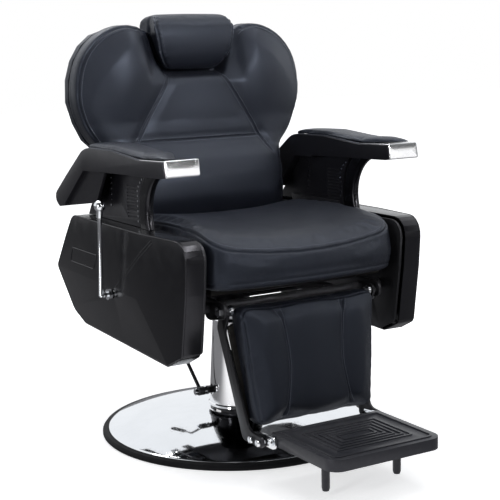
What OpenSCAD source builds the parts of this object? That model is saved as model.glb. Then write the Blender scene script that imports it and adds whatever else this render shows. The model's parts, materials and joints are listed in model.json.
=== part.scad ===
// Hydraulic barber chair: round pump base, swivelling seat, linked recline and leg rest.
// Millimetres, +Z up, the sitter faces -Y, the sitter's right hand is at -X.
// The origin lies on the floor, on the pump's axis.

/* [Base and pump] */
// Radius of the round base pan
base_r = 350; // [320:1:380]
// Height of the pan's flat middle above the floor
base_h = 54; // [44:1:56]
// Outer radius of the pump body
pump_r = 43; // [38:1:48]
// Height of the top of the pump's cone cover
skirt_top = 289; // [280:1:292]
// Radius of the cone cover at its foot
skirt_foot_r = 72; // [66:1:80]
// Radius of the pump's ram
ram_r = 25; // [22:0.5:28]
// Radial play of a turning or sliding fit
fit = 0.05; // [0.02:0.01:0.08]

/* [Seat] */
// Half the width of the seat cushion at its seam
seat_half_w = 252; // [240:1:254]
// Front of the seat cushion at its corners
seat_front = -338; // [-350:1:-330]
// Rear of the seat cushion
seat_rear = 106; // [90:1:110]
// Underside of the seat cushion
seat_floor = 438; // [432:1:444]
// Height of the seat's side seam at the front
seat_edge = 556; // [540:1:562]

/* [Backrest and headrest] */
// Height of the back's pivot
back_pivot_z = 440; // [430:1:445]
// Front of the back cushion's seam
back_front = 184; // [180:1:190]
// Thickness of the back cushion
back_thick = 62; // [56:1:70]
// Height of the back's two upper lobes
back_top = 1034; // [1020:1:1045]
// Half the width of the widest part of the back
back_half_w = 330; // [318:1:334]

/* [Arms] */
// Distance of an arm's middle from the chair's middle
arm_mid_x = 305; // [304:0.5:306]
// Width of an arm
arm_w = 90; // [86:1:92]
// Outer face of a side panel
panel_out_x = 345; // [335:1:350]

/* [Leg rest and footplate] */
// Pivot of the leg rest, forward of the pump's axis
leg_pivot_y = -308; // [-312:1:-304]
// Height of the leg rest's pivot
leg_pivot_z = 388; // [384:1:390]
// Half the width of the leg pad at its top
leg_half_top = 186; // [180:1:190]
// Half the width of the leg pad at its foot
leg_half_foot = 158; // [150:1:160]
// Half the width of the footplate
foot_half_w = 150; // [140:1:150]
// Length of the footplate
foot_len = 242; // [210:1:250]

/* [Hidden] */
$fn = 64;

black = [0.07, 0.07, 0.08];
vinyl = [0.10, 0.10, 0.12];
steel = [0.55, 0.56, 0.58];
bright = [0.85, 0.86, 0.88];
wood = [0.72, 0.56, 0.36];

// ---------- shared helpers ----------

// Draws its children, turned so that a profile in (y, z) is extruded along +X from x
module along_x(x, len) {
  translate([x, 0, 0]) rotate([90, 0, 90]) linear_extrude(len) children();
}

// A round bar along X, from x to x + len
module bar_x(x, len, y, z, r) {
  translate([x, y, z]) rotate([0, 90, 0]) cylinder(r = r, h = len);
}

// A straight round rod between two points
module rod(a, b, r) {
  d = b - a;
  flat = norm([d[0], d[1]]);
  translate(a) rotate([0, atan2(flat, d[2]), atan2(d[1], d[0])]) cylinder(r = r, h = norm(d));
}

// Draws its children as they are for the right side and mirrored for the left side
module on_left() { mirror([1, 0, 0]) children(); }
module both_sides() { children(); on_left() children(); }

function mix(a, b, t) = a + (b - a) * t;
function clamp01(t) = min(1, max(0, t));
function smooth(a, b, t) = let (k = clamp01((t - a) / (b - a))) k * k * (3 - 2 * k);
function bump(at, width, t) = exp(-pow((t - at) / width, 2));

// An outline with each corner rounded: corners are [y, z, radius]
function unit(v) = v / norm(v);
function arc_of(p, a, b, r, n) =
  let (
    u = unit(a - p), w = unit(b - p),
    half = acos(u * w) / 2,
    c = p + unit(u + w) * r / sin(half),
    s = p + u * r / tan(half) - c,
    e = p + w * r / tan(half) - c,
    a0 = atan2(s[1], s[0]),
    turn = atan2(s[0] * e[1] - s[1] * e[0], s * e)
  )
  [for (k = [0:n]) c + r * [cos(a0 + turn * k / n), sin(a0 + turn * k / n)]];
function rounded(corners, n = 5) =
  let (m = len(corners))
  [for (i = [0:m - 1])
    let (
      c = corners[i], p = [c[0], c[1]],
      a = [corners[(i + m - 1) % m][0], corners[(i + m - 1) % m][1]],
      b = [corners[(i + 1) % m][0], corners[(i + 1) % m][1]]
    )
    each c[2] > 0 ? arc_of(p, a, b, c[2], n) : [p]];

// Moves every edge of a corner list inwards by d; the outline runs clockwise
function edge_in(p, q, d) = let (t = unit(q - p)) [p + d * [t[1], -t[0]], t];
function meet(e, f) =
  let (den = e[1][0] * f[1][1] - e[1][1] * f[1][0], g = f[0] - e[0])
  e[0] + e[1] * (g[0] * f[1][1] - g[1] * f[1][0]) / den;
function inset(corners, d) =
  let (m = len(corners), p = [for (c = corners) [c[0], c[1]]])
  [for (i = [0:m - 1])
    let (q = meet(edge_in(p[(i + m - 1) % m], p[i], d), edge_in(p[i], p[(i + 1) % m], d)))
    [q[0], q[1], max(0, corners[i][2] - d)]];

// A soft closed form: a face of nu by nv cells, then rings round its edge, then a centre.
// face(s, t) and each ring(s, t) take s and t from -1 to 1; s runs right and t up,
// seen from outside the face.
module soft_form(nu, nv, face, rings, centre) {
  w = nu + 1;
  edge = concat(
    [for (i = [0:nu - 1]) [i, 0]], [for (j = [0:nv - 1]) [nu, j]],
    [for (i = [nu:-1:1]) [i, nv]], [for (j = [nv:-1:1]) [0, j]]);
  n = len(edge);
  grid_n = w * (nv + 1);
  grid = [for (j = [0:nv]) for (i = [0:nu]) face(2 * i / nu - 1, 2 * j / nv - 1)];
  ring_points = [for (r = rings) for (e = edge) r(2 * e[0] / nu - 1, 2 * e[1] / nv - 1)];
  on_ring = function (k, i) let (e = edge[i % n])
    k == 0 ? e[1] * w + e[0] : grid_n + (k - 1) * n + i % n;
  last = len(rings);
  faces = concat(
    [for (j = [0:nv - 1]) for (i = [0:nu - 1])
      let (a = j * w + i) each [[a, a + w, a + w + 1], [a, a + w + 1, a + 1]]],
    [for (k = [0:last - 1]) for (i = [0:n - 1])
      each [[on_ring(k, i), on_ring(k, i + 1), on_ring(k + 1, i + 1)],
            [on_ring(k, i), on_ring(k + 1, i + 1), on_ring(k + 1, i)]]],
    [for (i = [0:n - 1]) [on_ring(last, i), on_ring(last, i + 1), grid_n + last * n]]);
  polyhedron(points = concat(grid, ring_points, [centre]), faces = faces);
}

// A closed form through rings of equal length, each in its own plane; ring points run
// clockwise when seen from the last ring
module loft(rings) {
  n = len(rings[0]);
  m = len(rings);
  faces = concat(
    [for (k = [0:m - 2]) for (i = [0:n - 1])
      let (a = k * n + i, b = k * n + (i + 1) % n) each [[a, b, b + n], [a, b + n, a + n]]],
    [for (i = [1:n - 2]) [0, i + 1, i]],
    [for (i = [1:n - 2]) [(m - 1) * n, (m - 1) * n + i, (m - 1) * n + i + 1]]);
  polyhedron(points = [for (r = rings) each r], faces = faces);
}

// ---------- base and pump ----------

pan_t = 3;
rim_w = 15;
pan_rows = [base_r - rim_w - 0.3, 300, 250, 200, 150, 90];
function pan_z(r) = r < 91 ? base_h : base_h - (base_h - 16.8) * pow((r - 30) / (pan_rows[0] - 30), 2);
module base_pan() {
  edge = base_r - rim_w - 0.3;
  color(bright) rotate_extrude($fn = 128)
    polygon(concat(
      [[edge, 8.3]], [for (r = pan_rows) [r, pan_z(r)]], [[pump_r + fit, base_h]],
      [[pump_r + fit, base_h - pan_t]], [for (i = [5:-1:0]) [pan_rows[i], pan_z(pan_rows[i]) - pan_t]],
      [[edge - pan_t, pan_z(edge) - pan_t], [edge - pan_t, 8.3]]));
}

// The rubber rim that the pan stands in
module floor_ring() {
  color(black) rotate_extrude($fn = 128) translate([base_r, 0])
    polygon([[-34, 0], [-3, 0], [0, 3], [0, 9], [-4, 14], [-rim_w, 16.5], [-rim_w, 8], [-34, 8]]);
}

flange_z = base_h - pan_t - 7;
stud_pcd = 132;
module pump_flange() {
  color(black) difference() {
    union() {
      translate([0, 0, flange_z]) cylinder(r = 86, h = 7);
      translate([0, 0, base_h]) cylinder(r1 = 84, r2 = 78, h = 6);
    }
    translate([0, 0, flange_z - 1]) cylinder(r = pump_r + fit, h = 25);
    for (a = [45:90:315]) rotate(a) translate([stud_pcd / 2, 0, flange_z - 1]) cylinder(r = 5.5, h = 9);
  }
}

module pump_studs() {
  color(steel) for (a = [45:90:315]) rotate(a) translate([stud_pcd / 2, 0, 0]) {
    translate([0, 0, flange_z - 8]) cylinder(r = 9, h = 8, $fn = 6);
    translate([0, 0, flange_z - 3]) cylinder(r = 5, h = 10);
  }
}

gland_z = 268;
module pump_body() {
  color(black) difference() {
    union() {
      cylinder(r = pump_r, h = gland_z);
      bar_x(-80, 42, pedal_y, pedal_z, 9);
      bar_x(-83, 3, pedal_y, pedal_z, 11);
    }
    translate([0, 0, 14]) cylinder(r = pump_r - 4, h = gland_z);
    bar_x(-84, 50, pedal_y, pedal_z, 6 + fit);
  }
}

module pump_barrel() {
  color(steel) difference() {
    translate([0, 0, 14]) cylinder(r = ram_r + 6, h = gland_z - 14);
    translate([0, 0, 26]) cylinder(r = ram_r + fit, h = gland_z);
  }
}

skirt_t = 2;
module pump_gland() {
  color(steel) difference() {
    translate([0, 0, gland_z]) cylinder(r = pump_r, h = skirt_top - skirt_t - gland_z);
    translate([0, 0, gland_z - 1]) cylinder(r = ram_r + fit, h = 40);
  }
}

skirt_foot = 66;
skirt_top_r = 59;
module pump_skirt() {
  color(bright) difference() {
    rotate_extrude($fn = 96) polygon([
      [skirt_foot_r + 2, skirt_foot], [skirt_foot_r + 2, skirt_foot + 5], [skirt_foot_r - 0.5, skirt_foot + 8],
      [skirt_top_r, skirt_top], [ram_r + 3, skirt_top], [ram_r + 3, skirt_top - skirt_t],
      [skirt_top_r - skirt_t, skirt_top - skirt_t], [skirt_foot_r - 0.5 - skirt_t, skirt_foot + 8],
      [skirt_foot_r - skirt_t, skirt_foot]]);
    bar_x(-90, 60, pedal_y, pedal_z, 14);
  }
}

// ---------- foot pedal ----------

pedal_y = 13;
pedal_z = 107;
pedal_x = -100;
module pedal_shaft() {
  color(bright) {
    bar_x(-118, 80, pedal_y, pedal_z, 6);
    bar_x(-92, 6, pedal_y, pedal_z, 11);
    bar_x(-116, 4, pedal_y, pedal_z, 9);
  }
}

pedal_knee = [pedal_x, 112, 196];
pedal_end = [pedal_x, 186, 205];
module pedal_rod() {
  color(black) {
    difference() {
      bar_x(pedal_x - 7, 14, pedal_y, pedal_z, 11);
      bar_x(pedal_x - 8, 16, pedal_y, pedal_z, 6);
    }
    difference() {
      rod([pedal_x, pedal_y, pedal_z], pedal_knee, 4.5);
      bar_x(pedal_x - 8, 16, pedal_y, pedal_z, 10);
    }
    translate(pedal_knee) sphere(r = 4.7);
    rod(pedal_knee, pedal_end, 4.5);
  }
}

module pedal_pad() {
  color(black) difference() {
    union() {
      rod(pedal_end - [0, 20, 2.4], pedal_end + [0, 48, 5.8], 10.5);
      translate(pedal_end + [0, 48, 5.8]) sphere(r = 11);
    }
    rod(pedal_knee, pedal_end, 4.5);
  }
}

// ---------- lifting ram ----------

hub_z = 300;
plate_z = 366;
module pump_ram() {
  color(bright) translate([0, 0, 32]) cylinder(r = ram_r, h = plate_z - 34);
}

module thrust_washer() {
  color(steel) difference() {
    translate([0, 0, hub_z - 8]) cylinder(r = 38, h = 7.7);
    translate([0, 0, hub_z - 9]) cylinder(r = ram_r, h = 10);
  }
}

// ---------- seat frame ----------

plate_t = 8;
rail_z = plate_z + plate_t;
rail_h = 25;
module swivel_plate() {
  color(black) {
    difference() {
      translate([0, 0, hub_z]) cylinder(r = 38, h = plate_z - hub_z);
      translate([0, 0, hub_z - 1]) cylinder(r = ram_r + fit, h = plate_z - hub_z + 1);
    }
    translate([-rail_x - 30, -110, plate_z]) cube([2 * rail_x + 60, 220, plate_t]);
  }
}

rail_x = 110;
crossbar_y = -251;
crossbar_z = 387;
crossbar_r = 12;
module frame_rails() {
  color(black) both_sides() difference() {
    translate([rail_x, crossbar_y + crossbar_r, rail_z]) cube([30, 440, rail_h]);
    translate([rail_x + 2.5, crossbar_y, rail_z + 2.5]) cube([25, 480, rail_h - 5]);
  }
}

tube_z = rail_z + rail_h;
plate_in_x = 269;
module cross_tubes() {
  color(black) for (y = [-205, 20]) difference() {
    translate([-plate_in_x, y, tube_z]) cube([2 * plate_in_x, 25, 25]);
    translate([-plate_in_x - 1, y + 2.5, tube_z + 2.5]) cube([2 * plate_in_x + 2, 20, 20]);
  }
}

module front_crossbar() {
  color(black) bar_x(-plate_in_x, 2 * plate_in_x, crossbar_y, crossbar_z, crossbar_r);
}

hanger_x = 212;
hanger_t = 7;
module leg_hangers() {
  outline = rounded([[-330, 374, 15], [-330, 408, 15], [-236, 412, 12], [-236, 362, 15], [-262, 360, 13]]);
  color(black) both_sides() difference() {
    along_x(hanger_x, hanger_t) polygon(outline);
    bar_x(hanger_x - 1, hanger_t + 2, crossbar_y, crossbar_z, crossbar_r);
    bar_x(hanger_x - 1, hanger_t + 2, leg_pivot_y, leg_pivot_z, 8);
  }
}

module leg_pivot_bolts() {
  color(bright) both_sides() {
    bar_x(196, hanger_x + hanger_t - 196, leg_pivot_y, leg_pivot_z, 8);
    bar_x(hanger_x + hanger_t, 7, leg_pivot_y, leg_pivot_z, 12, $fn = 6);
    bar_x(190, 6, leg_pivot_y, leg_pivot_z, 12);
  }
}

back_pivot_y = 190;
shaft_r = 10;
module back_pivot_shaft() {
  color(steel) bar_x(-276, 552, back_pivot_y, back_pivot_z, shaft_r);
}

side_plate_t = 6;
screw_at = [[-230, 350], [-230, 500], [90, 330], [140, 500]];
lever_y = -2;
lever_z = 394;
module side_plate() {
  difference() {
    along_x(-plate_in_x - side_plate_t, side_plate_t) polygon(rounded(inset(panel_corners, 7)));
    bar_x(-plate_in_x - 7, 8, back_pivot_y, back_pivot_z, shaft_r);
    for (s = screw_at) bar_x(-plate_in_x - 7, 8, s[0], s[1], 3.2);
  }
}
module side_plate_right() {
  color(black) difference() {
    side_plate();
    bar_x(-plate_in_x - 7, 8, lever_y, lever_z, 10);
  }
}
module side_plate_left() { color(black) on_left() side_plate(); }

module seat_board() {
  color(wood) translate([-236, -298, tube_z + 25]) cube([472, 385, seat_floor - tube_z - 25]);
}

// The seat cushion: bowed front, raised rim at the sides, bulging boxing
seat_mid_y = (seat_front + seat_rear) / 2;
seat_half_l = (seat_rear - seat_front) / 2;
corner_cut = 0.035;
function seat_x(s, t, out) = (seat_half_w + out) * s * (1 - corner_cut * pow(t, 8));
function seat_y(s, t, out) =
  seat_mid_y + (seat_half_l + out) * t * (1 - corner_cut * pow(s, 8))
  - 26 * (1 - s * s) * smooth(0, -1, t);
// Height over the seam's front corners along the sides and along the middle
seat_side = [[-340, -2], [-314, 10], [-273, 20], [-220, 27], [-163, 31], [-103, 30], [-45, 27], [35, 19], [106, 10]];
seat_mid = [[-364, -26], [-330, -18], [-273, -9], [-200, -3], [-100, 1], [0, 0], [106, -4]];
function seat_z(s, t) =
  let (y = seat_mid_y + seat_half_l * t)
  seat_edge + mix(lookup(y, seat_mid), lookup(y, seat_side), pow(abs(s), 2.4)) - 9 * pow(s, 14) - 4 * pow(t, 12);
seat_ring = function (out, z) function (s, t) [seat_x(s, t, out), seat_y(s, t, out), z];
seat_seam = function (s, t) [seat_x(s, t, 5), seat_y(s, t, 5), seat_z(s, t) - 16];
module seat_cushion() {
  color(vinyl) soft_form(20, 18,
    function (s, t) [seat_x(s, t, 0), seat_y(s, t, 0), seat_z(s, t)],
    [seat_seam, seat_ring(8, 496), seat_ring(6, 470), seat_ring(-1, 448), seat_ring(-7, seat_floor)],
    [0, seat_mid_y, seat_floor]);
}

// ---------- side panels ----------

panel_in_x = 279;
panel_corners = [
  [-353, 561, 45], [236, 561, 40], [282, 503, 60], [345, 415, 12], [267, 307, 45],
  [204, 281, 45], [-37, 274, 0], [-262, 267, 12], [-321, 296, 20], [-343, 440, 60]];
panel_apex = [-panel_out_x, -135, 404];
panel_rear_crease = [-panel_out_x + 4, 347, 415];
panel_foot_crease = [-panel_out_x + 13, -262, 267];
panel_front_crease = [-panel_out_x + 21, -353, 522];
panel_wall = 3.5;

// The half space on the inner side of the plane through three points
module inside_plane(a, b, c, shift = 0) {
  n0 = cross(b - a, c - a);
  n = n0[0] > 0 ? -n0 / norm(n0) : n0 / norm(n0);
  translate(a - n * shift) rotate([0, acos(n[2]), atan2(n[1], n[0])])
    translate([-900, -900, -900]) cube([1800, 1800, 900]);
}

module panel_solid(shrink) {
  intersection() {
    along_x(-panel_out_x - 20, panel_out_x + 20 - panel_in_x)
      polygon(rounded(inset(panel_corners, shrink)));
    inside_plane(panel_apex, panel_rear_crease, panel_apex + [4, 0, 170], shrink);
    inside_plane(panel_apex, panel_rear_crease, panel_foot_crease, shrink);
    inside_plane(panel_apex, panel_foot_crease, panel_front_crease, shrink);
    inside_plane(panel_apex, panel_front_crease, panel_apex + [6, -60, 170], shrink);
  }
}

module panel_shell() {
  difference() {
    panel_solid(0);
    panel_solid(panel_wall);
    translate([-frame_x - 0.3, -71, 540]) cube([5, 222, 30]);
  }
  intersection() {
    panel_solid(1);
    for (s = screw_at) difference() {
      bar_x(-panel_out_x, panel_out_x - frame_x, s[0], s[1], 9);
      bar_x(-305, 23, s[0], s[1], 3);
    }
  }
}
module side_panel_right() {
  color(black) difference() {
    panel_shell();
    bar_x(-panel_out_x - 5, 70, lever_y, lever_z, 11);
  }
}
module side_panel_left() { color(black) on_left() panel_shell(); }

module panel_screws() {
  color(steel) both_sides() for (s = screw_at) {
    bar_x(-304, 304 - plate_in_x, s[0], s[1], 3);
    bar_x(-plate_in_x, 3, s[0], s[1], 6);
  }
}

// ---------- recline lever ----------

lever_rod_x = -373;
module lever_bush() {
  color(steel) difference() {
    union() {
      bar_x(-plate_in_x - side_plate_t - 5, side_plate_t + 5, lever_y, lever_z, 10);
      bar_x(-plate_in_x, 6, lever_y, lever_z, 16);
    }
    bar_x(-plate_in_x - 15, 30, lever_y, lever_z, 7 + fit);
  }
}

module lever_shaft() {
  color(bright) {
    bar_x(lever_rod_x + 6, -215 - lever_rod_x - 6, lever_y, lever_z, 7);
    bar_x(-panel_out_x - 12, 9, lever_y, lever_z, 13);
    along_x(-228, 8) polygon(rounded([[lever_y - 9, lever_z - 9, 3], [lever_y - 9, lever_z + 9, 3],
      [lever_y + 9, lever_z + 9, 3], [lever_y + 9, lever_z - 34, 6], [lever_y - 3, lever_z - 34, 4]]));
  }
}

module lever_rod() {
  color(bright) {
    translate([lever_rod_x, lever_y, lever_z]) sphere(r = 6);
    bar_x(lever_rod_x, 6, lever_y, lever_z, 6);
    rod([lever_rod_x, lever_y, lever_z], [lever_rod_x - 2, lever_y - 14, 595], 5.5);
  }
}

lever_ball = [lever_rod_x - 2, -19, 613];
module lever_knob() {
  color(bright) difference() {
    union() {
      translate(lever_ball) sphere(r = 14);
      rod([lever_rod_x - 2, lever_y - 13.3, 585], lever_ball, 8);
    }
    rod([lever_rod_x, lever_y, lever_z], [lever_rod_x - 2, lever_y - 14, 595], 5.5);
  }
}

// ---------- arms ----------

arm_in_x = arm_mid_x - arm_w / 2;
post_centre = [-225, 600];
post_arc = 121;
post_r = 11;
post_core = 12;
frame_floor = 562;
frame_t = 17;
frame_x = 283;
louvre_z = [580:8.2:656];

// The region under the arm and above the side panel, in (y, z)
module under_arm() {
  polygon([[-260, frame_floor], [-313, 698.3], [20, 688.15], [27, 682.5], [31, 681], [109.4, 680.6],
    [201.3, 585.2], [218, frame_floor]]);
}

module arm_frame() {
  difference() {
    along_x(-frame_x - frame_t, frame_t) difference() {
      under_arm();
      translate(post_centre) circle(r = post_arc + post_core + post_r + 0.3, $fn = 180);
    }
    for (z = louvre_z, x = [-frame_x - frame_t - 1, -frame_x - 1]) translate([x, -66, z]) cube([3, 52, 3.4]);
  }
  along_x(-frame_x, 8) polygon(rounded([[-60, 470, 20], [-70, 575, 0], [150, 575, 0], [130, 470, 20]]));
}
module arm_frame_right() { color(black) arm_frame(); }
module arm_frame_left() { color(black) on_left() arm_frame(); }

post_x = frame_x + 0.5 + post_r;
module arm_post() {
  intersection() {
    translate([-post_x, post_centre[0], post_centre[1]]) rotate([0, 90, 0]) rotate(50)
      rotate_extrude(angle = 112, $fn = 180) translate([post_arc, 0]) {
        translate([-post_core, 0]) circle(r = post_r, $fn = 48);
        translate([post_core, 0]) circle(r = post_r, $fn = 48);
        square([2 * post_core, 2 * post_r], center = true);
      }
    along_x(-post_x - 30, 50) under_arm();
  }
}
module arm_post_right() { color(black) arm_post(); }
module arm_post_left() { color(black) on_left() arm_post(); }

rivet_head = 1.6;
rivet_at = concat(
  [for (z = [576:12:648]) [-73, z]], [[-79, 659], [-88, 669], [-99, 677]],
  [for (z = [600:13.6:668]) [76, z]]);
module arm_rivets() {
  color(bright) both_sides() for (x = [-frame_x - frame_t - rivet_head, -frame_x], r = rivet_at)
    if (x < -frame_x || r[1] > 579) bar_x(x, rivet_head, r[0], r[1], 2.6);
}

cap_t = 2.5;
arm_corners = [
  [-308, 701, 6], [-302, 735, 4], [-182, 730, 30], [-131, 734, 40], [-28, 742, 90], [90, 740, 60],
  [131, 734, 58], [238, 663, 60], [327, 601, 18], [290, 578, 18], [83, 607, 0], [25, 688, 0], [-291, 698, 0]];
arm_wall = 8;
arm_recess = 12;
module arm_body() {
  outer = -arm_mid_x - arm_w / 2;
  difference() {
    along_x(outer, arm_w) polygon(rounded(arm_corners, 4));
    along_x(outer - 1, arm_recess + 1)
      polygon([[20, 560], [20, 687], [128, 683], [138, 676], [252, 590], [256, 560]]);
    along_x(outer + arm_recess + arm_wall, arm_w)
      polygon([[20, 680], [40, 684], [110, 682], [203, 585], [203, 560], [20, 560]]);
  }
}
module arm_body_right() { color(vinyl) arm_body(); }
module arm_body_left() { color(vinyl) on_left() arm_body(); }

module arm_cap() {
  along_x(-arm_mid_x - arm_w / 2, arm_w) polygon([
    [-308.3, 700.8], [-302, 735.3], [-183, 730.3], [-182, 732.6], [-302, 738], [-305, 737], [-311, 700.4]]);
}
module arm_cap_right() { color(bright) arm_cap(); }
module arm_cap_left() { color(bright) on_left() arm_cap(); }

// The arm pad: a long crowned leaf on top of the arm, [y, half width, crown]
pad_stations = [
  [-288, 6, 1], [-274, 15, 4], [-252, 23, 7], [-220, 30, 9], [-182, 35, 10], [-150, 38, 10],
  [-131, 39, 10], [-90, 40, 9], [-45, 40, 9], [0, 40, 8], [45, 40, 8], [90, 40, 8],
  [108, 36, 7], [122, 31, 5], [132, 23, 3]];
function arm_top(y) = lookup(y, [[-302, 738.4], [-182, 733.2], [-131, 735.6], [-28, 743.6], [90, 741.6], [131, 736.4]]);
function pad_ring(y, w, crown) =
  [for (k = [[-1, 0], [-1.04, 0.3], [-1, 0.55], [-0.7, 0.85], [0, 1.05], [0.7, 0.85], [1, 0.55], [1.04, 0.3], [1, 0]])
    [-arm_mid_x + k[0] * w, y, arm_top(y) + 0.4 + k[1] * crown]];
module arm_pad() { loft([for (p = pad_stations) pad_ring(p[0], p[1], p[2])]); }
module arm_pad_right() { color(vinyl) arm_pad(); }
module arm_pad_left() { color(vinyl) on_left() arm_pad(); }

// ---------- backrest ----------

// Half the back's width at each height, from its foot to its lobes
back_widths = [
  [502, 236], [640, 236], [700, 245], [722, 266], [745, 291], [790, 314], [845, back_half_w],
  [900, 328], [948, 314], [985, 291], [1012, 259], [back_top, 204]];
back_foot = 502;
board_foot = 530;
valley_foot = 913;
// Half the width of the valley that holds the headrest
function valley_in(z) = lookup(z, [[904, 76], [920, 83], [936, 92], [960, 101], [990, 109], [1023, 116], [1045, 116]]);
function row_z(t) = lookup((t + 1) / 2, [[0, back_foot], [14 / 20, 894], [15 / 20, valley_foot], [1, back_top]]);
function back_x(s, t) =
  let (z = row_z(t), w = lookup(z, back_widths), v = valley_in(z))
  sign(s) * lookup(abs(s), [[0, 0], [5 / 12, v], [1 / 2, v + 13.5], [1, w]]);
function dip(s, t) = 24 * smooth(0.56, 0.46, abs(s)) * smooth(0.5, 1, t);
function back_z(s, t) = row_z(t) - dip(s, t);
back_rear = back_front + back_thick;
function valley(s, t) =
  (abs(s) < 0.45 ? 1 : 0) * (row_z(t) > valley_foot - 4 ? 1 : 0);
function back_crown(s, t) =
  14 * (1 - pow(s, 4)) * (1 - pow(t, 6))
  - 4 * bump(745, 14, row_z(t)) * (abs(s) < 0.62 ? 1 : 0)
  - 4 * bump(0, 18, abs(back_x(s, t)) - mix(190, 70, clamp01((row_z(t) - 726) / 190))) * (row_z(t) > 735 ? 1 : 0);
// How far the seam of the thick lower part stands in front of the lobes' seam
function lumbar(z) = lookup(z, [[502, 66], [600, 66], [650, 60], [690, 42], [715, 20], [745, 6], [790, 0]]);
function back_y(s, t) =
  mix(back_front - lumbar(row_z(t)) - back_crown(s, t) * (row_z(t) < 590 ? 0.2 : 1), back_rear - 12, valley(s, t));
// A point on the back's edge, moved out by out, at depth y
back_ring = function (out, y, foot_y, foot_z) function (s, t)
  [back_x(s, t) * (1 + out / 300), row_z(t) < 520 ? foot_y : y,
   max(foot_z, back_z(s, t) + out * (back_z(s, t) - 790) / 260)];
module back_cushion() {
  color(vinyl) soft_form(24, 20,
    function (s, t) [back_x(s, t), back_y(s, t), back_z(s, t)],
    [back_ring(4, back_rear - 8, 210, 0), back_ring(0, back_rear, back_rear, 527)],
    [0, back_rear, 790]);
}

// The back's outline in (x, z), drawn in by d
function back_outline(d) =
  let (
    side = [for (p = back_widths) [p[1] - d, min(max(p[0], board_foot + d), back_top - d)]],
    top = [for (k = [4:-1:-4]) [k * 40, back_top - d - 22 * smooth(4, 3.1, abs(k))]]
  )
  concat(side, top, [for (i = [len(side) - 1:-1:0]) [-side[i][0], side[i][1]]]);

module across_y(y, len) {
  translate([0, y + len, 0]) rotate([90, 0, 0]) linear_extrude(len) children();
}

board_t = 12;
cover_depth = 30;
socket_x = 45;
module back_board() {
  color(wood) across_y(back_rear, board_t) polygon(back_outline(14));
}

module back_cover() {
  y = back_rear + board_t;
  color(vinyl) difference() {
    union() {
      across_y(y, cover_depth - 8) polygon(back_outline(4));
      across_y(y + cover_depth - 8, 8) polygon(back_outline(12));
    }
    across_y(y - 1, cover_depth - 3) polygon(back_outline(16));
    for (x = [-strap_x - 10, strap_x - 1]) translate([x, y - 1, board_foot - 5]) cube([11, 24, 60]);
    for (x = [-socket_x, socket_x]) translate([x, y + 12, back_top - 60]) cylinder(r = 7, h = 80);
  }
}

strap_x = 202;
strap_t = 7;
crank_r = 55;
crank_lean = 30;
gas_crank_r = 40;
gas_lean = 25;
gas_x = -185;
gas_pin_r = 5;
link_rear = [back_pivot_y + crank_r * sin(crank_lean), back_pivot_z - crank_r * cos(crank_lean)];
gas_pin = [back_pivot_y + gas_crank_r * sin(gas_lean), back_pivot_z - gas_crank_r * cos(gas_lean)];
sleeve_r = shaft_r + 6;
strap_eye = 24;
module back_straps() {
  y = back_rear + board_t;
  color(black) both_sides() difference() {
    along_x(strap_x, strap_t) {
      polygon([[y, 700], [y + 20, 700], [y + 20, 540], [back_pivot_y + 22, back_pivot_z - 9],
        [back_pivot_y - 14, back_pivot_z + 19], [y, 522]]);
      translate([back_pivot_y, back_pivot_z]) circle(r = strap_eye);
    }
    bar_x(strap_x - 1, strap_t + 2, back_pivot_y, back_pivot_z, sleeve_r);
  }
}

module crank_tube() {
  end = strap_x + strap_t;
  color(black) difference() {
    union() {
      bar_x(-end, 2 * end, back_pivot_y, back_pivot_z, sleeve_r);
      along_x(link_x + 8, 8) crank(link_rear, 12);
      for (x = [gas_x - 14, gas_x + 8]) along_x(x, 6) crank(gas_pin, 11);
      bar_x(link_x, 8, link_rear[0], link_rear[1], 6);
      bar_x(gas_x - 8, 16, gas_pin[0], gas_pin[1], gas_pin_r);
    }
    bar_x(-end - 1, 2 * end + 2, back_pivot_y, back_pivot_z, shaft_r + fit);
  }
}
// A crank arm from the pivot to a pin, in (y, z)
module crank(pin, r) {
  pivot = [back_pivot_y, back_pivot_z];
  side = unit([pivot[1] - pin[1], pin[0] - pivot[0]]) * r;
  translate(pin) circle(r = r);
  polygon([pivot + side, pivot - side, pin - side, pin + side]);
}

post_y = back_rear + board_t + 12;
module headrest_sockets() {
  color(steel) for (x = [-socket_x, socket_x]) translate([x, post_y, 0]) difference() {
    translate([0, 0, 840]) cylinder(r = 8, h = 150);
    translate([0, 0, 839]) cylinder(r = 5 + fit, h = 152);
  }
}

headrest_rear = back_rear - 14;
headrest_step = 1014;
module headrest_posts() {
  color(bright) for (x = [-socket_x, socket_x])
    translate([x, post_y, 852]) cylinder(r = 5, h = headrest_step - 852);
}

// The headrest pillow's section, [depth, height]: it fills the valley and reaches back over the top
pillow = [
  [headrest_rear, headrest_step], [headrest_rear, 980], [headrest_rear, 950], [228, 926], [213, 920],
  [198, 923], [185, 936], [174, 960], [169, 990], [170, 1016], [178, 1040], [196, 1055], [226, 1060],
  [262, 1057], [280, 1047], [284, 1030], [280, headrest_step]];
function pillow_half(z) = lookup(z, [[920, 74], [936, 88], [960, 97], [990, 105], [1023, 112], [1045, 111], [1060, 101]]);
module headrest_cushion() {
  mid = [226, 1000];
  stations = [[-1, 0.8], [-0.985, 0.93], [-0.94, 0.985], [-0.8, 1], [-0.4, 1], [0, 1], [0.4, 1], [0.8, 1],
    [0.94, 0.985], [0.985, 0.93], [1, 0.8]];
  color(vinyl) loft([for (k = stations) [for (i = [0:len(pillow) - 1])
    let (p = pillow[i], held = i == 0 || i > 15 || (i < 3) ? 1 : k[1], q = mid + (p - mid) * held)
    [k[0] * pillow_half(q[1]), i < 3 ? p[0] : q[0], i > 15 || i == 0 ? p[1] : q[1]]]]);
}

// ---------- leg rest ----------

// The leg pad's own frame: origin at the middle of its top front edge, down is -Z
leg_tilt = -6.5;
module in_leg_frame() {
  translate([0, -350, 396]) rotate([leg_tilt, 0, 0]) children();
}

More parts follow.
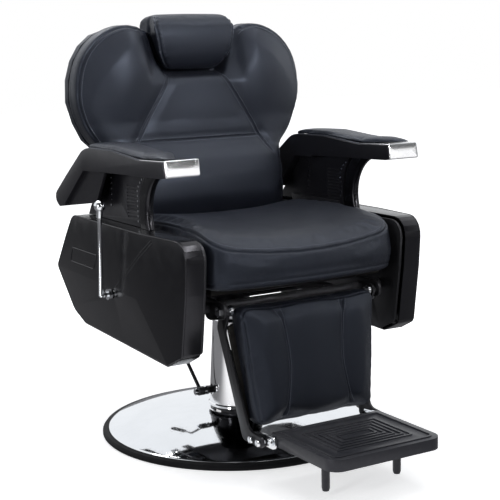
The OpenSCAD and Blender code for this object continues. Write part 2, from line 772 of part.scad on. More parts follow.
leg_len = 272;
leg_thick = 54;
function leg_half(t) = mix(leg_half_foot, leg_half_top, (t + 1) / 2);
function leg_z(t) = -leg_len * (1 - t) / 2;
function leg_seam(t) = mix(0.49, 0.43, 1 - t * t);
function leg_crown(s, t) =
  7 * (1 - pow(s, 6)) * (1 - pow(t, 8)) - 4 * bump(leg_seam(t), 0.07, abs(s)) * (1 - pow(t, 8));
leg_ring = function (out, y) function (s, t)
  [s * (leg_half(t) + out) * (1 - 0.03 * pow(t, 10)), y, leg_z(t) + out * t];
module leg_pad() {
  color(vinyl) in_leg_frame() soft_form(24, 14,
    function (s, t) [s * leg_half(t) * (1 - 0.03 * pow(t, 10)), 6 - leg_crown(s, t), leg_z(t)],
    [leg_ring(3, 14), leg_ring(3.5, 34), leg_ring(-2, leg_thick)],
    [0, leg_thick, -leg_len / 2]);
}

module leg_board() {
  half = [[leg_half_top - 10, -10], [leg_half_top - 10, -34], [bar_inner(347) - 1.2, -42],
    [bar_inner(388 - leg_len + 10) - 1.2, -leg_len + 10]];
  color(wood) in_leg_frame() across_y(leg_thick, 8)
    polygon(concat(half, [for (i = [3:-1:0]) [-half[i][0], half[i][1]]]));
}

link_x = 150;
leg_pin = [leg_pivot_y + crank_r * sin(crank_lean), leg_pivot_z - crank_r * cos(crank_lean)];
bar_lean = 7.1;
// The inner face of a leg bar at height z
function bar_inner(z) = 201 - tan(bar_lean) * (390 - z);
module leg_bars() {
  outline = rounded([
    [-326, 388, 15], [-308, 406, 15], [-289, 396, 14], [-262, 340, 20], [-308, 108, 10],
    [-312, 78, 14], [-402, 78, 12], [-402, 104, 10], [-346, 108, 25], [-292, 332, 20]]);
  color(black) {
    both_sides() difference() {
      translate([205, 0, 390]) rotate([0, bar_lean, 0]) translate([-4, 0, -390])
        along_x(0, 7) polygon(outline);
      bar_x(190, 30, leg_pivot_y, leg_pivot_z, 8 + fit);
      for (y = foot_bolt_y) bar_x(140, 40, y, foot_bolt_z, 4.05);
    }
    bar_x(link_x, 48, leg_pin[0], leg_pin[1], 6);
    in_leg_frame() for (z = [-112, -240]) {
      half = bar_inner(388 + z) + 4;
      translate([-half, leg_thick + 8, z - 15]) cube([2 * half, 5, 30]);
    }
  }
}

foot_bolt_y = [-357, -389];
foot_bolt_z = 92;
foot_pivot_y = -420;
foot_pivot_z = 100;
module footplate_arms() {
  outline = rounded([[-338, 80, 8], [-432, 84, 10], [-434, 114, 13], [-345, 106, 8]]);
  color(bright) both_sides() {
    difference() {
      along_x(foot_half_w + 2, 5) polygon(outline);
      bar_x(140, 40, foot_pivot_y, foot_pivot_z, 5);
    }
    for (y = foot_bolt_y) {
      bar_x(foot_half_w + 7, 22, y, foot_bolt_z, 4);
      bar_x(foot_half_w + 22, 6, y, foot_bolt_z, 8);
    }
    bar_x(foot_half_w - 12, 22, foot_pivot_y, foot_pivot_z, 5);
    bar_x(foot_half_w + 10, 5, foot_pivot_y, foot_pivot_z, 9);
  }
}

// ---------- footplate ----------

plate_top = 118;
plate_rear = -408;
lip_h = 27;
rib_h = 2.5;
// How far in from the plate's edge each raised frame runs
rib_inset = [14, for (d = [48:14:104]) d];
leg_x = 98;
foot_leg_y = -547;
foot_leg_r = 9.5;
function tray(d) = let (w = foot_half_w - d, f = plate_rear - foot_len + d, r = 32 - d)
  rounded([[-w, plate_rear - d, 0], [w, plate_rear - d, 0], [w, f, max(4, r)], [-w, f, max(4, r)]], 6);
module footplate() {
  color(black) difference() {
    union() {
      difference() {
        translate([0, 0, plate_top - lip_h]) linear_extrude(lip_h) polygon(tray(0));
        translate([0, 0, plate_top - lip_h - 1]) linear_extrude(lip_h - 4) polygon(tray(5));
      }
      for (d = rib_inset) translate([0, 0, plate_top - 1]) linear_extrude(rib_h + 1) difference() {
        polygon(tray(d));
        polygon(tray(d + 5));
      }
      for (x = [-1, 1]) bar_x(x > 0 ? foot_half_w - 20 : -foot_half_w, 20, foot_pivot_y, foot_pivot_z, 9);
      for (x = [-leg_x, leg_x]) translate([x, foot_leg_y, 95]) cylinder(r = foot_leg_r + 5, h = 20);
    }
    bar_x(-foot_half_w - 1, 14, foot_pivot_y, foot_pivot_z, 5 + fit);
    bar_x(foot_half_w - 13, 14, foot_pivot_y, foot_pivot_z, 5 + fit);
    for (x = [-leg_x, leg_x]) translate([x, foot_leg_y, 90]) cylinder(r = foot_leg_r, h = 20);
  }
}

module footplate_legs() {
  color(black) for (x = [-leg_x, leg_x]) translate([x, foot_leg_y, 0]) {
    translate([0, 0, 20]) cylinder(r = foot_leg_r, h = 90);
    translate([0, 0, 13]) cylinder(r1 = foot_leg_r - 2, r2 = foot_leg_r, h = 7);
  }
}

// ---------- gas spring and push link ----------

// The spring's foot pin, in (y, z), and how far its rod's end sits from the crank's pin
gas_foot = [-150, 352];
gas_slack = 3.2;
gas_eye_r = 12;
function along_gas(k) = [gas_x, mix(gas_foot[0], gas_pin[0], k), mix(gas_foot[1], gas_pin[1], k)];
module gas_bracket() {
  color(black) {
    along_x(-rail_x - 36, 6) polygon(rounded([
      [gas_foot[0] - 15, 336, 14], [gas_foot[0] - 15, tube_z, 2],
      [gas_foot[0] + 15, tube_z, 2], [gas_foot[0] + 15, 336, 14]]));
    bar_x(gas_x - 8, -rail_x - 36 - gas_x + 8, gas_foot[0], gas_foot[1], gas_pin_r);
  }
}

module gas_cylinder() {
  color(black) difference() {
    union() {
      rod(along_gas(0.02), along_gas(0.55), 10.5);
      bar_x(gas_x - 5, 10, gas_foot[0], gas_foot[1], gas_eye_r);
    }
    bar_x(gas_x - 12, 24, gas_foot[0], gas_foot[1], gas_pin_r + fit);
    rod(along_gas(0.12), along_gas(0.6), 4 + fit);
  }
}

module gas_rod() {
  color(bright) difference() {
    union() {
      rod(along_gas(0.25), along_gas(0.97), 4);
      bar_x(gas_x - 5, 10, gas_pin[0], gas_pin[1], gas_eye_r);
    }
    bar_x(gas_x - 12, 24, gas_pin[0], gas_pin[1], gas_pin_r + gas_slack);
  }
}

module push_link() {
  side = unit([link_rear[1] - leg_pin[1], leg_pin[0] - link_rear[0]]) * 9;
  color(steel) difference() {
    union() {
      for (p = [link_rear, leg_pin]) bar_x(link_x, 8, p[0], p[1], 12);
      along_x(link_x, 8) polygon([link_rear + side, leg_pin + side, leg_pin - side, link_rear - side]);
    }
    for (p = [link_rear, leg_pin]) bar_x(link_x - 1, 10, p[0], p[1], 6 + fit);
  }
}

base_pan();
floor_ring();
pump_flange();
pump_studs();
pump_body();
pump_barrel();
pump_gland();
pump_skirt();
pedal_shaft();
pedal_rod();
pedal_pad();
pump_ram();
thrust_washer();
swivel_plate();
frame_rails();
cross_tubes();
front_crossbar();
leg_hangers();
leg_pivot_bolts();
back_pivot_shaft();
side_plate_right();
side_plate_left();
seat_board();
seat_cushion();
side_panel_right();
side_panel_left();
panel_screws();
lever_bush();
arm_frame_right();
arm_frame_left();
arm_post_right();
arm_post_left();
arm_rivets();
arm_body_right();
arm_body_left();
arm_pad_right();
arm_pad_left();
arm_cap_right();
arm_cap_left();
lever_shaft();
lever_rod();
lever_knob();
back_straps();
crank_tube();
back_board();
back_cover();
back_cushion();
headrest_sockets();
headrest_posts();
headrest_cushion();
leg_bars();
leg_board();
leg_pad();
footplate_arms();
footplate();
footplate_legs();
gas_bracket();
gas_cylinder();
gas_rod();
push_link();
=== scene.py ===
"""Barber chair: its looks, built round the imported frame.

Metres, +Z up, the sitter faces -Y and the sitter's right hand is at -X.
"""
import json
import math

import bpy
import bmesh
import numpy as np
from mathutils import Matrix, Vector
from mathutils.bvhtree import BVHTree
from mathutils.kdtree import KDTree


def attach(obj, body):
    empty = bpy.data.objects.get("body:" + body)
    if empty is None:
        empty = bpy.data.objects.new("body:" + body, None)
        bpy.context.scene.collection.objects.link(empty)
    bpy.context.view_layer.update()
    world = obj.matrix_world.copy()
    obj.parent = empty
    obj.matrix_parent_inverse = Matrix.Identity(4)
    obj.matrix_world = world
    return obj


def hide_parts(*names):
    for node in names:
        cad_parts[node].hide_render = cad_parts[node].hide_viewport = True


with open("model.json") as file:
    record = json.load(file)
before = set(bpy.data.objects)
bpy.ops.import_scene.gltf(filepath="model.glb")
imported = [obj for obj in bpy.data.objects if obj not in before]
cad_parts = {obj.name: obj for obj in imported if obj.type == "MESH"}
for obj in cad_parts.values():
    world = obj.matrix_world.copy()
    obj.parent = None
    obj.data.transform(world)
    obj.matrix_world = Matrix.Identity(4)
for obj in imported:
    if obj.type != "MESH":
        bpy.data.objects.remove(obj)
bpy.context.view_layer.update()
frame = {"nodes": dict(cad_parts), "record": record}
NODES = frame["nodes"]
SCENE = bpy.context.scene
SIDES = ((-1, "right"), (1, "left"))


# ---- camera and light

CAMERA_AT = (-1.575, -2.710, 1.000)
CAMERA_ANGLES = (30.92, 9.7, -1.2)
LENS, SENSOR_WIDTH, FAR_CLIP = 89.8, 36.0, 60.0

# name, place, aim, size, power and the spread in degrees
LAMPS = [
    ("lamp_left", (-2.5, -1.3, 1.0), (0, -0.1, 0.6), (0.35, 1.7), 16, 180),
    ("lamp_front", (0.2, -2.9, 2.4), (0, 0.0, 0.7), (1.6, 1.0), 13, 180),
    ("lamp_back_rest", (0.5, -3.1, 1.75), (-0.03, 0.16, 0.93), (1.0, 0.7), 2.0, 24),
    ("lamp_card", (1.25, -2.45, 0.92), (0, -0.31, 0.72), (1.5, 0.66), 3.6, 180),
    ("lamp_right", (2.6, -0.2, 1.6), (0, 0, 0.6), (0.6, 1.6), 7, 180),
    ("lamp_top", (-0.1, 0.2, 3.2), (0, 0, 0.5), (1.8, 1.4), 16, 180),
    ("lamp_strip_top", (1.2, -0.8, 3.2), (0, 0, 0.5), (1.6, 0.25), 14, 180),
    ("lamp_rim", (-0.5, 2.1, 3.1), (0, 0, 0.6), (1.8, 0.5), 30, 180)]

FAR_WALL, LEFT_CARD = (0.507, 0.846, 0.25), (-0.97, 0.08, 0.0)


def having(thing, **settings):
    for label, value in settings.items():
        setattr(thing, label, value)
    return thing


def placed(name, data):
    obj = bpy.data.objects.new(name, data)
    SCENE.collection.objects.link(obj)
    return obj


def place_camera():
    yaw, pitch, roll = (math.radians(a) for a in CAMERA_ANGLES)
    look = Vector((math.sin(yaw) * math.cos(pitch), math.cos(yaw) * math.cos(pitch), -math.sin(pitch)))
    right = Vector((math.cos(yaw), -math.sin(yaw), 0.0))
    up = right.cross(look)
    rolled_right = right * math.cos(roll) + up * math.sin(roll)
    rolled_up = up * math.cos(roll) - right * math.sin(roll)
    data = bpy.data.cameras.new("camera")
    camera = placed("camera", having(data, sensor_width=SENSOR_WIDTH, lens=LENS, clip_end=FAR_CLIP))
    turn = Matrix((rolled_right, rolled_up, -look)).transposed()
    camera.matrix_world = Matrix.Translation(CAMERA_AT) @ turn.to_4x4()
    SCENE.camera = camera


def light_the_room():
    for name, place, aim, size, power, spread in LAMPS:
        lamp = placed(name, having(bpy.data.lights.new(name, "AREA"), shape="RECTANGLE", size=size[0],
                                   size_y=size[1], energy=power, spread=math.radians(spread)))
        lamp.location = place
        lamp.rotation_euler = (Vector(aim) - Vector(place)).to_track_quat("-Z", "Y").to_euler()
    world = bpy.data.worlds.new("studio")
    SCENE.world = world
    world.use_nodes = True
    tree = world.node_tree
    tree.nodes.clear()
    around = add(tree, "TexCoord").outputs["Generated"]
    path = add(tree, "LightPath").outputs

    def toward(way):
        return add(tree, "VectorMath", {0: around, 1: way}, operation="DOT_PRODUCT").outputs["Value"]

    # mirrors see a white wall beyond the chair, a card at the left and the dark behind the viewer
    level = plus(tree, ranged(tree, toward(FAR_WALL), -0.35, 0.30, 0.06, 1.0),
                 ranged(tree, toward(LEFT_CARD), 0.72, 0.93, 0.0, 0.55))
    white = combined(tree, "MAXIMUM", path["Is Camera Ray"], path["Is Transmission Ray"])
    backdrop = add(tree, "Background", {"Color": (1, 1, 1, 1)}).outputs[0]
    fill = add(tree, "Background", {"Color": (0.93, 0.95, 1.0, 1), "Strength": 0.25}).outputs[0]
    mirrored_in = add(tree, "Background", {"Color": (0.96, 0.98, 1.0, 1), "Strength": level}).outputs[0]
    room = add(tree, "MixShader", {0: path["Is Glossy Ray"], 1: fill, 2: mirrored_in}).outputs[0]
    add(tree, "OutputWorld", {0: add(tree, "MixShader", {0: white, 1: room, 2: backdrop}).outputs[0]})


# ---- shader nodes

def feed(tree, socket, value):
    """Links an input to another node's socket, or sets its value."""
    if isinstance(value, bpy.types.NodeSocket):
        tree.links.new(value, socket)
    else:
        socket.default_value = value


def add(tree, kind, inputs=None, **settings):
    """A new node with its settings, and its inputs by name or number."""
    n = having(tree.nodes.new("ShaderNode" + kind), **settings)
    for label, value in (inputs or {}).items():
        feed(tree, n.inputs[label], value)
    return n


def combined(tree, operation, a, b, clamp=False):
    return add(tree, "Math", {0: a, 1: b}, operation=operation, use_clamp=clamp).outputs[0]


def plus(tree, a, b):
    return combined(tree, "ADD", a, b)


def minus(tree, a, b):
    return combined(tree, "SUBTRACT", a, b)


def times(tree, a, b, clamp=False):
    return combined(tree, "MULTIPLY", a, b, clamp)


def ranged(tree, value, low, high, to_low=0.0, to_high=1.0):
    """The value eased from one range to another."""
    return add(tree, "MapRange", {"Value": value, "From Min": low, "From Max": high, "To Min": to_low,
                                  "To Max": to_high}, interpolation_type="SMOOTHSTEP").outputs["Result"]


def mixed(tree, fac, a, b):
    return add(tree, "Mix", {"Factor": fac, "A": a, "B": b}, data_type="RGBA").outputs["Result"]


def noise(tree, coords, scale, detail=3.0, rough=0.5):
    inputs = {"Vector": coords, "Scale": scale, "Detail": detail, "Roughness": rough}
    return add(tree, "TexNoise", inputs).outputs["Fac"]


def place_coords(tree, stretch=None):
    """Object coordinates, stretched where a finish runs one way."""
    coords = add(tree, "TexCoord").outputs["Object"]
    if stretch is None:
        return coords
    return add(tree, "VectorMath", {0: coords, 1: stretch}, operation="MULTIPLY").outputs[0]


# ---- shared effects

def group(name, **inputs):
    """A new shader node group and the sockets of its inputs."""
    g = bpy.data.node_groups.new(name, "ShaderNodeTree")
    for label, default in inputs.items():
        kind = "NodeSocketColor" if isinstance(default, tuple) else "NodeSocketFloat"
        s = g.interface.new_socket(name=label.replace("_", " "), in_out="INPUT", socket_type=kind)
        s.default_value = default
    return g, g.nodes.new("NodeGroupInput").outputs


def closed_group(g, **outputs):
    """The group with its outputs: Color is a colour, the others are numbers."""
    for label in outputs:
        kind = "NodeSocketColor" if label == "Color" else "NodeSocketFloat"
        g.interface.new_socket(name=label, in_out="OUTPUT", socket_type=kind)
    end = g.nodes.new("NodeGroupOutput")
    for label, socket in outputs.items():
        g.links.new(socket, end.inputs[label])
    return g


def make_hide_grain():
    """Pebbled hide: rounded cells with fine creases between them and slow waves under them."""
    g, given = group("hide_grain", Scale=520.0, Wrinkle=0.35)
    coords = place_coords(g)
    cell = add(g, "TexVoronoi", {"Vector": coords, "Scale": given["Scale"]}, feature="DISTANCE_TO_EDGE")
    crease = ranged(g, cell.outputs["Distance"], 0.0, 0.09, 1.0, 0.0)
    wave = noise(g, coords, 38.0, 4.0, 0.55)
    fine = noise(g, coords, 1500.0, 2.0)
    height = minus(g, times(g, wave, given["Wrinkle"]), times(g, crease, 0.5))
    return closed_group(g, Height=plus(g, height, times(g, fine, 0.12)), Crease=crease)


def make_cloud_tone():
    """Slow uneven tone and gloss over a surface."""
    g, given = group("cloud_tone", Scale=9.0, Light=(1, 1, 1, 1), Dark=(0, 0, 0, 1))
    mask = ranged(g, noise(g, place_coords(g), given["Scale"], 4.0, 0.6), 0.32, 0.68)
    return closed_group(g, Color=mixed(g, mask, given["Dark"], given["Light"]), Mask=mask)


def make_edge_wear():
    """Mask of worn ridges, broken up by noise."""
    g, given = group("edge_wear", Start=0.515, Break_Up=0.5)
    ridge = minus(g, add(g, "NewGeometry").outputs["Pointiness"], given["Start"])
    ridge = times(g, ridge, 14.0, clamp=True)
    patch = ranged(g, noise(g, place_coords(g), 85.0, 4.0, 0.65), 0.38, 0.7)
    kept = plus(g, times(g, patch, given["Break Up"]), minus(g, 1.0, given["Break Up"]))
    return closed_group(g, Mask=times(g, ridge, kept, clamp=True))


def make_rubbed_marks():
    """Hairline marks and smears that break up a polished or satin face."""
    g, given = group("rubbed_marks", Scale=60.0)
    smear = ranged(g, noise(g, place_coords(g), given["Scale"], 5.0, 0.6), 0.35, 0.75)
    hair = noise(g, place_coords(g, (900.0, 60.0, 60.0)), 1.0, 2.0, 0.7)
    return closed_group(g, Smear=smear, Hairline=ranged(g, hair, 0.55, 0.8))


def make_settled_dust():
    """Mask of thin dust on faces that look up."""
    g, given = group("settled_dust", Amount=0.2)
    up = add(g, "SeparateXYZ", {0: add(g, "NewGeometry").outputs["Normal"]}).outputs["Z"]
    patch = ranged(g, noise(g, place_coords(g), 22.0, 6.0, 0.7), 0.4, 0.8)
    return closed_group(g, Mask=times(g, times(g, ranged(g, up, 0.55, 1.0), patch), given["Amount"]))


def make_moulded_texture():
    """Fine spark texture of moulded plastic or powder coat."""
    g, given = group("moulded_texture", Scale=900.0)
    return closed_group(g, Height=noise(g, place_coords(g), given["Scale"], 3.0, 0.6))


def make_wood_rings():
    """Streaks along the grain of stained wood."""
    g, given = group("wood_rings", Light=(0.022, 0.020, 0.018, 1), Dark=(0.011, 0.010, 0.009, 1))
    streak = noise(g, place_coords(g, (6.0, 90.0, 90.0)), 1.0, 5.0, 0.6)
    tone = mixed(g, ranged(g, streak, 0.3, 0.7), given["Dark"], given["Light"])
    return closed_group(g, Color=tone, Height=streak)


HIDE_GRAIN = make_hide_grain()
CLOUD_TONE = make_cloud_tone()
EDGE_WEAR = make_edge_wear()
RUBBED_MARKS = make_rubbed_marks()
SETTLED_DUST = make_settled_dust()
MOULDED_TEXTURE = make_moulded_texture()
WOOD_RINGS = make_wood_rings()


def new_material(name, shader_values):
    m = bpy.data.materials.new(name)
    m.use_nodes = True
    shader = m.node_tree.nodes["Principled BSDF"]
    for label, value in shader_values.items():
        shader.inputs[label].default_value = value
    return m, m.node_tree, shader


def use(tree, effect, **values):
    inputs = {label.replace("_", " "): value for label, value in values.items()}
    return add(tree, "Group", inputs, node_tree=effect).outputs


def coated(tree, shader, colour, rough, height, distance, strength=1.0):
    """Feeds a shader its colour, its roughness and its bumps."""
    feed(tree, shader.inputs["Base Color"], colour)
    feed(tree, shader.inputs["Roughness"], rough)
    relief = add(tree, "Bump", {"Distance": distance, "Strength": strength, "Height": height})
    feed(tree, shader.inputs["Normal"], relief.outputs["Normal"])


WORN_HIDE, WORN_PLASTIC, DUST_GREY = (0.09, 0.095, 0.12, 1), (0.12, 0.12, 0.13, 1), (0.2, 0.2, 0.2, 1)


def hide_material(name, dark, light, rough, grain=620.0):
    m, tree, shader = new_material(name, {
        "Specular IOR Level": 0.5, "Specular Tint": (0.70, 0.79, 1.0, 1), "Sheen Weight": 0.03,
        "Sheen Roughness": 0.45, "Sheen Tint": (0.55, 0.62, 0.85, 1)})
    pebble = use(tree, HIDE_GRAIN, Scale=grain)
    tone = use(tree, CLOUD_TONE, Scale=7.0, Light=(*light, 1), Dark=(*dark, 1))
    wear = use(tree, EDGE_WEAR, Start=0.56)
    dust = use(tree, SETTLED_DUST, Amount=0.05)
    # painted shade: the hide is darker in the creases of its grain
    colour = mixed(tree, pebble["Crease"], tone["Color"], (*dark, 1))
    colour = mixed(tree, times(tree, wear["Mask"], 0.25), colour, WORN_HIDE)
    gloss = plus(tree, times(tree, tone["Mask"], 0.07), rough)
    gloss = plus(tree, gloss, times(tree, pebble["Crease"], 0.15))
    coated(tree, shader, mixed(tree, dust["Mask"], colour, DUST_GREY), gloss, pebble["Height"], 0.00035, 0.7)
    return m


def plastic_material(name, dark, light, rough, wear_amount=0.2, spark=900.0, depth=0.00005, specular=0.4):
    m, tree, shader = new_material(name, {
        "Specular IOR Level": specular, "Specular Tint": (0.92, 0.91, 1.0, 1)})
    marks = use(tree, RUBBED_MARKS, Scale=30.0)
    tone = use(tree, CLOUD_TONE, Scale=5.0, Light=(*light, 1), Dark=(*dark, 1))
    wear = use(tree, EDGE_WEAR)
    dust = use(tree, SETTLED_DUST, Amount=0.08)
    colour = mixed(tree, times(tree, wear["Mask"], wear_amount), tone["Color"], WORN_PLASTIC)
    coated(tree, shader, mixed(tree, dust["Mask"], colour, DUST_GREY),
           plus(tree, times(tree, marks["Smear"], 0.08), rough),
           use(tree, MOULDED_TEXTURE, Scale=spark)["Height"], depth)
    return m


def metal_material(name, light, dark, rough, hair=0.04, depth=0.00002, painted_reflection_tone=None):
    """Bright metal. Where a tone for its reflections is given, other mirrors see the metal in that tone: a
    painted reflection.
    """
    m, tree, shader = new_material(name, {"Metallic": 1.0})
    marks = use(tree, RUBBED_MARKS, Scale=24.0)
    colour = use(tree, CLOUD_TONE, Scale=11.0, Light=(*light, 1), Dark=(*dark, 1))["Color"]
    if painted_reflection_tone:
        # painted reflection: glossy rays see the metal in the given dark tone
        colour = mixed(tree, add(tree, "LightPath").outputs["Is Glossy Ray"], colour, (*painted_reflection_tone, 1))
    gloss = plus(tree, times(tree, marks["Smear"], 0.02), rough)
    gloss = plus(tree, gloss, times(tree, marks["Hairline"], hair))
    coated(tree, shader, colour, gloss, marks["Hairline"], depth)
    return m


def wood_material():
    m, tree, shader = new_material("stained_plywood", {"Specular IOR Level": 0.2})
    rings = use(tree, WOOD_RINGS)
    coated(tree, shader, rings["Color"], ranged(tree, rings["Height"], 0.2, 0.8, 0.55, 0.8),
           rings["Height"], 0.0002)
    return m


HIDE = hide_material("black_hide", (0.0042, 0.0047, 0.0074), (0.0066, 0.0075, 0.0116), 0.36)
HIDE_REAR = hide_material("black_hide_rear", (0.009, 0.0095, 0.012), (0.013, 0.0135, 0.017), 0.42)
# the piping's hide is painted lighter than the arm's: a painted highlight along each arm's upper edge
PIPING_PAINTED_HIGHLIGHT = hide_material("hide_piping", (0.045, 0.048, 0.058), (0.066, 0.070, 0.084), 0.28, grain=1500.0)
THREAD = hide_material("grey_thread", (0.085, 0.092, 0.115), (0.12, 0.13, 0.155), 0.5, grain=2500.0)
PANEL = plastic_material("gloss_black_panel", (0.0045, 0.0045, 0.0055), (0.0065, 0.0065, 0.0078), 0.16,
                         depth=0.00002)
ARM = plastic_material("satin_black_arm", (0.0105, 0.0103, 0.0130), (0.0140, 0.0138, 0.0170), 0.32)
FOOT = plastic_material("cast_black_plate", (0.020, 0.021, 0.026), (0.027, 0.028, 0.034), 0.34,
                        wear_amount=0.45, spark=650.0, depth=0.00012)
COAT = plastic_material("black_powder_coat", (0.009, 0.009, 0.01), (0.013, 0.013, 0.014), 0.33,
                        wear_amount=0.5, spark=1100.0, depth=0.00008)
RUBBER = plastic_material("black_rubber", (0.010, 0.010, 0.0105), (0.015, 0.015, 0.016), 0.5,
                          wear_amount=0.1, spark=500.0, depth=0.0001, specular=0.06)
CHROME = metal_material("chrome_plate", (0.85, 0.865, 0.89), (0.815, 0.83, 0.855), 0.05)
# the skirt is chrome to the camera but near black in other mirrors: a painted dark reflection in the dome
SKIRT_CHROME_DARK_REFLECTION = metal_material("skirt_chrome_dark_reflection", (0.92, 0.92, 0.93), (0.88, 0.88, 0.89), 0.12,
                              painted_reflection_tone=(0.02, 0.02, 0.022))
SATIN_CHROME = metal_material("satin_chrome", (0.90, 0.90, 0.91), (0.84, 0.84, 0.86), 0.13, hair=0.05)
ZINC = metal_material("zinc_plate", (0.6, 0.61, 0.63), (0.48, 0.49, 0.52), 0.3, hair=0.12, depth=0.0001)
STAINED = wood_material()


# ---- mesh helpers

def piece(name, verts, faces, body, material, smooth=True):
    mesh = bpy.data.meshes.new(name)
    mesh.from_pydata([tuple(v) for v in verts], [], faces)
    mesh.validate()
    obj = placed(name, mesh)
    mesh.materials.append(material)
    if smooth:
        mesh.shade_smooth()
    if body:
        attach(obj, body)
    return obj


def fix_normals(obj):
    bm = bmesh.new()
    bm.from_mesh(obj.data)
    bmesh.ops.recalc_face_normals(bm, faces=bm.faces)
    bm.to_mesh(obj.data)
    bm.free()
    return obj


def points_of(obj, what="co"):
    out = np.zeros(len(obj.data.vertices) * 3, np.float32)
    obj.data.vertices.foreach_get(what, out)
    return out.reshape(-1, 3).astype(float)


def set_points(obj, co):
    obj.data.vertices.foreach_set("co", co.astype(np.float32).ravel())
    obj.data.update()


def apply_modifiers(obj):
    dg = bpy.context.evaluated_depsgraph_get()
    new = bpy.data.meshes.new_from_object(obj.evaluated_get(dg), depsgraph=dg)
    old = obj.data
    obj.modifiers.clear()
    obj.data = new
    bpy.data.meshes.remove(old)


def mirrored(obj, name, body):
    """The same piece for the other side of the chair."""
    mesh = obj.data.copy()
    other = placed(name, mesh)
    mesh.transform(Matrix.Scale(-1, 4, (1, 0, 0)))
    mesh.flip_normals()
    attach(other, body)
    return other


def smooth_line(points, per_span=8, closed=False):
    """A Catmull-Rom line through the points."""
    p = [np.array(q, float) for q in points]
    n = len(p)
    spans = n if closed else n - 1
    out = []
    for i in range(spans):
        a = p[(i - 1) % n] if closed or i > 0 else 2 * p[0] - p[1]
        b, c = p[i], p[(i + 1) % n]
        d = p[(i + 2) % n] if closed or i < n - 2 else 2 * p[-1] - p[-2]
        for k in range(per_span):
            t = k / per_span
            out.append(0.5 * (2 * b + (c - a) * t + (2 * a - 5 * b + 4 * c - d) * t * t
                              + (3 * b - a - 3 * c + d) * t ** 3))
    if not closed:
        out.append(p[-1])
    return np.array(out)


def closed_up(line):
    return np.vstack([line, line[:1]])


def evenly(points, step=None, count=None, closed=False):
    """The same line, cut into even steps."""
    p = np.array(points, float)
    if closed:
        p = closed_up(p)
    length = np.concatenate([[0], np.cumsum(np.linalg.norm(np.diff(p, axis=0), axis=1))])
    if count is None:
        count = max(2, int(round(length[-1] / step)) + 1)
    at = np.linspace(0, length[-1], count + 1 if closed else count)
    if closed:
        at = at[:-1]
    return np.stack([np.interp(at, length, p[:, k]) for k in range(p.shape[1])], 1)


def round_corners(corners, steps=6):
    """A closed outline with its corners rounded: corners are (a, b, radius)."""
    out = []
    n = len(corners)
    for i in range(n):
        p = np.array(corners[i][:2], float)
        r = corners[i][2]
        u = np.array(corners[i - 1][:2], float) - p
        w = np.array(corners[(i + 1) % n][:2], float) - p
        u, w = u / np.linalg.norm(u), w / np.linalg.norm(w)
        half = math.acos(max(-1, min(1, float(u @ w)))) / 2
        if r <= 0 or half > math.pi / 2 - 1e-3:
            out.append(p)
            continue
        cut = r / math.tan(half)
        a, b = p + u * cut, p + w * cut
        for k in range(steps + 1):
            t = k / steps
            out.append((1 - t) ** 2 * a + 2 * t * (1 - t) * p + t * t * b)
    return np.array(out)


def skins(name, stacks, body, material, loop=False):
    """One piece made of stacks of equal closed rings. Each has a fan at either end, or its last ring
    is joined to its first."""
    verts, faces = [], []
    for rings in stacks:
        base, n, m = len(verts), len(rings[0]), len(rings)
        verts += [p for r in rings for p in r]
        for k in range(m if loop else m - 1):
            onward = ((k + 1) % m - k) * n
            for i in range(n):
                a, b = base + k * n + i, base + k * n + (i + 1) % n
                faces.append((a, b, b + onward, a + onward))
        if not loop:
            faces.append(tuple(range(base + n - 1, base - 1, -1)))
            faces.append(tuple(range(base + (m - 1) * n, base + m * n)))
    return fix_normals(piece(name, verts, faces, body, material))


def turns(steps):
    return [2 * math.pi * k / steps for k in range(steps)]


def directions(line):
    t = np.gradient(line, axis=0)
    return t / np.maximum(np.linalg.norm(t, axis=1), 1e-9)[:, None]


def lathe(name, profile, body, material, steps=128):
    """A form turned about the pump's axis: profile is a closed line of (radius, height)."""
    rings = [[(r * math.cos(a), r * math.sin(a), z) for a in turns(steps)] for r, z in profile]
    return skins(name, [rings], body, material, loop=True)


def tube(line, radius, sides=10):
    """Rings of a round bar along the line, drawn in to a dome at either end."""
    p = np.array(line, float)
    t = directions(p)
    up = np.array((0.13, 0.21, 1.0)) if abs(t[0][2]) < 0.9 else np.array((1.0, 0.2, 0.1))
    rings = []
    for k in range(len(p)):
        across = np.cross(t[k], up)
        across /= np.linalg.norm(across)
        other = np.cross(t[k], across)
        r = radius * (0.35 if k in (0, len(p) - 1) else 1.0)
        rings.append([p[k] + r * (across * math.cos(a) + other * math.sin(a))
                      for a in turns(sides)])
    return rings


# ---- stuffing and sewing

def filled_outline(name, outline, centre, height, edge, to_row, material, rings=26):
    """A closed cushion blank. outline is a closed line in the face's plane, height(a, b) the face's
    rise over it, edge the steps of its side: (outward, depth), and to_row(a, b, depth) its place."""
    def deep(depth, x, y):
        return depth(x, y) if callable(depth) else depth

    c = np.array(centre, float)
    n = len(outline)
    shares = [1 - (1 - k / rings) ** 1.6 for k in range(1, rings + 1)]
    verts, faces = [to_row(c[0], c[1], -height(c[0], c[1], 0.0))], []
    for k in shares:
        for p in outline:
            q = c + (p - c) * k
            verts.append(to_row(q[0], q[1], -height(q[0], q[1], k)))
    span = np.linalg.norm(outline - c, axis=1).mean()
    for out, depth in edge:
        for p in outline:
            q = c + (p - c) * (1 + out / span)
            verts.append(to_row(q[0], q[1], deep(depth, q[0], q[1])))
    for i in range(n):
        faces.append((0, 1 + i, 1 + (i + 1) % n))
    for k in range(rings + len(edge) - 1):
        for i in range(n):
            a, b = 1 + k * n + i, 1 + k * n + (i + 1) % n
            faces.append((a, a + n, b + n, b))
    last = 1 + (rings + len(edge) - 1) * n
    verts.append(to_row(c[0], c[1], deep(edge[-1][1], c[0], c[1])))
    for i in range(n):
        faces.append((last + i, len(verts) - 1, last + (i + 1) % n))
    return fix_normals(piece(name, verts, faces, None, material))


SWELL_PRESSURE, SWELL_FRAMES = 4.0, 20


